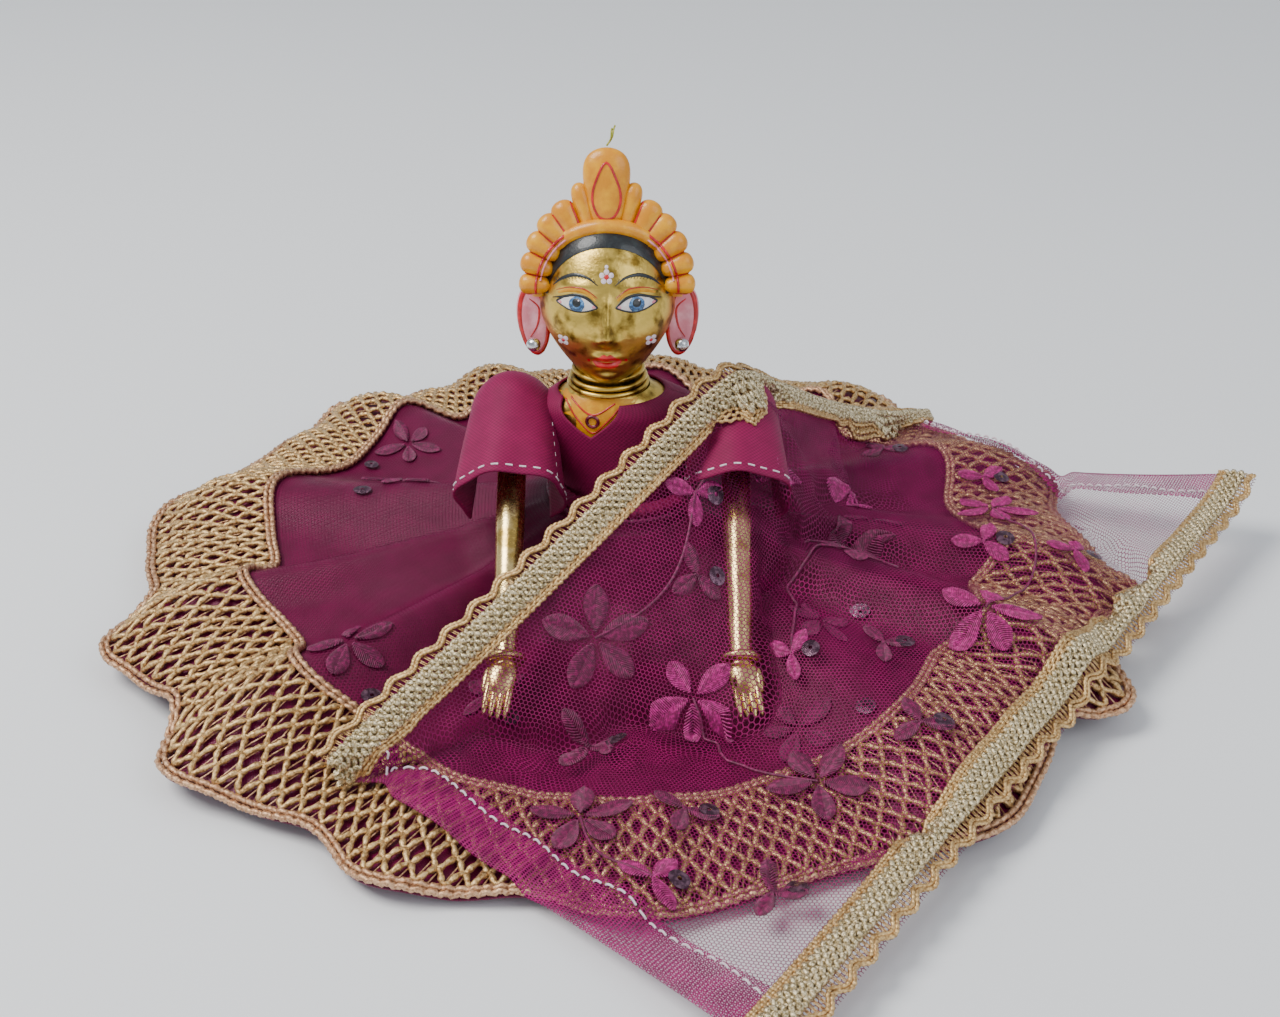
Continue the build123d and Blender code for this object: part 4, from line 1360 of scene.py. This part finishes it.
# %% arms
ARM_LEAN = math.radians(34.5)
arm_way = Vector((0, -math.cos(ARM_LEAN), -math.sin(ARM_LEAN)))
palm_way = Vector((0, -math.sin(ARM_LEAN), math.cos(ARM_LEAN)))
for side, s in (("left", 1), ("right", -1)):
    shoulder = Vector((s * 15.9, 0, 31))
    path = []
    for share in np.linspace(0, 1, 24):
        place = (shoulder + arm_way * 39.0 * share) * MM
        elbow = 0.04 * math.exp(-(((share - 0.45) / 0.1) ** 2))
        narrow_wrist = 0.08 * math.exp(-(((share - 0.93) / 0.05) ** 2))
        full = 1 - 0.2 * share + elbow - narrow_wrist
        path.append((*place, full))
    limb = threads([path], 2.15 * MM, 8)
    eye = ball(shoulder * MM, (2.15 * MM, 3.05 * MM, 3.05 * MM), 32, 20)
    fan_out = s * math.radians(9)
    hand_way = arm_way * math.cos(fan_out) + Vector((1, 0, 0)) * math.sin(fan_out)
    side_way = hand_way.cross(palm_way).normalized()
    wrist = shoulder + arm_way * 38.0

    def pad(along, across, long, wide, thick):
        clear()
        bpy.ops.mesh.primitive_uv_sphere_add(segments=20, ring_count=12, radius=1)
        lump = bpy.context.active_object
        centre = wrist + hand_way * along + side_way * across
        axes = Matrix((side_way * wide, palm_way * thick, hand_way * long)).transposed().to_4x4()
        lump.data.transform(Matrix.Scale(MM, 4) @ Matrix.Translation(centre) @ axes)
        return lump

    hand = [pad(2.6, 0, 3.1, 2.1, 1.05)]
    hand += [pad(5.6 - 0.25 * abs(index - 1.3), (index - 1.5) * 0.98, 3.1, 0.56, 0.62) for index in range(4)]
    hand.append(pad(3.3, -s * 2.0, 1.9, 0.6, 0.62))
    arm = finish(join([limb, eye, *hand]), f"arm_{side}_casting", bright_brass, f"arm_{side}")
    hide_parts(f"arm_{side}")

# %% finishes of the small castings
for node in ("neck_peg", "shoulder_pin_left", "shoulder_pin_right", "bangle_left", "bangle_right"):
    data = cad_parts[node].data
    data.materials.clear()
    data.materials.append(bright_brass)

# %% [markdown]
# ## Embroidery
# Each motif is worked in satin stitch: many short threads lie side by side, from the middle line of a
# leaf out to its edge. The leaves stand in stars, chain-stitched stems join them, and a flat sequin
# sits beside the buds. Every stitch is placed on the cloth in millimetres.

# %% embroidery
class Worked:
    """A cloth measured in millimetres, so that a motif keeps its size wherever it is worked."""

    def __init__(self, cloth, long, wide):
        self.cloth, self.long, self.wide = cloth, long, wide

    def at(self, spots, lift):
        spots = np.array(spots, float)
        return self.cloth.at(spots[:, 0] / self.long, spots[:, 1] / self.wide, lift)


def leaf(ground, root, heading, long, wide, gap=0.27):
    """Satin stitches of one leaf, from its root, in the direction of heading."""
    way = np.array((math.cos(heading), math.sin(heading)))
    side = np.array((-way[1], way[0]))
    stitches = []
    for reach in np.arange(0.1, long, gap):
        half = wide * math.sin(math.pi * min(1.0, reach / long) ** 0.85) ** 0.8
        for turn in (-1, 1):
            middle = np.array(root) + way * reach
            tip = middle + way * half * 0.55 + side * turn * half
            stitches.append(ground.at((middle, (middle + tip) / 2, tip), (0.2, 0.42, 0.15)))
    return stitches


def star(ground, centre, turn, long, leaves=5):
    stitches = []
    for index in range(leaves):
        heading = turn + 2 * math.pi * index / leaves + 0.12 * math.sin(5 * index + turn)
        root = (centre[0] + 0.8 * math.cos(heading), centre[1] + 0.8 * math.sin(heading))
        leaf_long = long * (0.88 + 0.16 * math.sin(3 * index + turn))
        stitches += leaf(ground, root, heading, leaf_long, long * 0.23)
    return stitches


def sequins(ground, places, name, body):
    points, faces = [], []
    for along, across in places:
        first = len(points)
        rim = oval(along, across, 1.4, 1.4, 16)
        hole = oval(along, across, 0.3, 0.3, 16)
        points += list(ground.at(rim, 0.45)) + list(ground.at(hole, 0.55))
        for index in range(16):
            after = (index + 1) % 16
            faces.append((first + index, first + after, first + 16 + after, first + 16 + index))
    return finish(mesh_piece(points, faces), name, sequin_grey, body)


veil_ground = Worked(veil, VEIL_LONG, VEIL_WIDE)
STARS = ((37, 15, 0.4, 7.5), (41, 30, 1.2, 6.5), (85, 34, 0.2, 7.5), (81, 57, 0.9, 7.0),
         (41, 52, 0.0, 7.0), (80, 16, 0.7, 6.0), (14, 33, 0.5, 6.5), (118, 38, 1.0, 6.5))
BUDS = ((62, 11), (54, 19), (57, 38), (56, 60), (11, 47), (21, 58), (128, 30),
        (26, 23), (109, 57), (119, 14), (100, 46), (68, 48), (98, 22), (24, 42))
bright, dark_silk = [], []
for index, (along, across, turn, long) in enumerate(STARS):
    (bright if index % 2 else dark_silk).extend(star(veil_ground, (along, across), turn, long))
for index, (along, across) in enumerate(BUDS):
    group = dark_silk if index % 2 else bright
    for way in (0.5, 2.3, 4.2):
        group.extend(leaf(veil_ground, (along, across), way + index, 4.6, 1.15))
STEMS = ((0, 8), (1, 4), (2, 10), (3, 7), (5, 8), (6, 12))
places = [spot[:2] for spot in STARS] + list(BUDS)
stems = []
for start, end in STEMS:
    a, b = np.array(places[start]), np.array(places[end])
    bow = np.array((-(b - a)[1], (b - a)[0])) * 0.16
    steps = np.linspace(0, 1, 60)[:, None]
    stems.append(veil_ground.at(a + (b - a) * steps + bow * np.sin(math.pi * steps), 0.3))
veil_work = [
    finish(threads(dark_silk, 0.14 * MM, 0), "veil_embroidery_dark", silk_dark, "veil"),
    finish(threads(bright, 0.14 * MM, 0), "veil_embroidery_bright", silk_bright, "veil"),
    finish(threads(stems, 0.19 * MM, 1), "veil_stems", silk_dark, "veil"),
    sequins(veil_ground, [(a + 2.4, b + 2.2) for a, b in BUDS], "veil_sequins", "veil"),
]
skirt_ground = Worked(skirt, SKIRT_ROUND, SKIRT_DEPTH)
ROUND_SPOTS = [((index + 0.5 * (index % 2)) / 9, 0.40 + 0.17 * (index % 2)) for index in range(9)]
work = []
for index, (turn, share) in enumerate(ROUND_SPOTS):
    work += star(skirt_ground, (turn * SKIRT_ROUND, share * SKIRT_DEPTH), index * 0.7, 6.0)
skirt_work = finish(threads(work, 0.14 * MM, 0), "skirt_embroidery", silk_dark, "figure")
skirt_sequins = sequins(
    skirt_ground, [(turn * SKIRT_ROUND + 9, (share + 0.06) * SKIRT_DEPTH) for turn, share in ROUND_SPOTS],
    "skirt_sequins", "figure",
)
print("stitches:", len(dark_silk), len(bright), len(work))

# %% [markdown]
# ## The area of each cloth
# The area of each modelled cloth sheet is printed, in square centimetres.


# %% sheets
def flat_area(obj):
    return sum(polygon.area for polygon in obj.data.polygons)


for cloth_piece in (veil_sheet, lining, overlay, bodice_cloth, *[pair[0] for pair in sleeves]):
    print("area, cm2:", cloth_piece.name, round(flat_area(cloth_piece) * 1e4, 1))

# %% [markdown]
# ## Table, light and camera
# A pale table, one large soft light from the left and above, and a weaker fill give the soft studio
# look. The camera looks down at the doll from the front.

# %% table, light and camera
clear()
bpy.ops.mesh.primitive_plane_add(size=4, location=(0, 0, 0))
table = settle(bpy.context.active_object)
table.name = "table"
table_finish = new_material("table_paper", (0.86, 0.875, 0.89), 0.6)[0]
table.data.materials.append(table_finish)
table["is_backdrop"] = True
world = bpy.data.worlds.new("soft_room")
bpy.context.scene.world = world
world.use_nodes = True
world.node_tree.nodes["Background"].inputs["Color"].default_value = (0.80, 0.84, 0.90, 1)
world.node_tree.nodes["Background"].inputs["Strength"].default_value = 0.68


def add_light(name, place, aim, size, power, colour):
    light = bpy.data.lights.new(name, "AREA")
    light.shape, light.size, light.energy, light.color = "DISK", size, power, colour
    obj = bpy.data.objects.new(name, light)
    bpy.context.scene.collection.objects.link(obj)
    obj.location = place
    obj.rotation_euler = (Vector(aim) - Vector(place)).to_track_quat("-Z", "Y").to_euler()
    return obj


add_light("window", (-0.35, -0.10, 0.55), (0, 0, 0.02), 0.35, 4.3, (1.0, 0.98, 0.95))
add_light("fill", (0.45, -0.35, 0.40), (0, 0, 0.02), 0.5, 1.3, (0.92, 0.95, 1.0))

CAMERA_PLACE = (2.3 * MM, -240 * MM, 148.5 * MM)
LOOK_DOWN = math.radians(29)
camera_data = bpy.data.cameras.new("camera")
camera_data.sensor_width = 36
camera_data.lens = 52
camera_data.clip_start = 0.01
camera = bpy.data.objects.new("camera", camera_data)
bpy.context.scene.collection.objects.link(camera)
camera.location = CAMERA_PLACE
camera.rotation_euler = (math.pi / 2 - LOOK_DOWN, 0, 0)
bpy.context.scene.camera = camera

# %% sizes and finish
visual_box = [list(corner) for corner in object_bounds()]
print("visual box, mm:", [[round(value / MM, 1) for value in corner] for corner in visual_box])
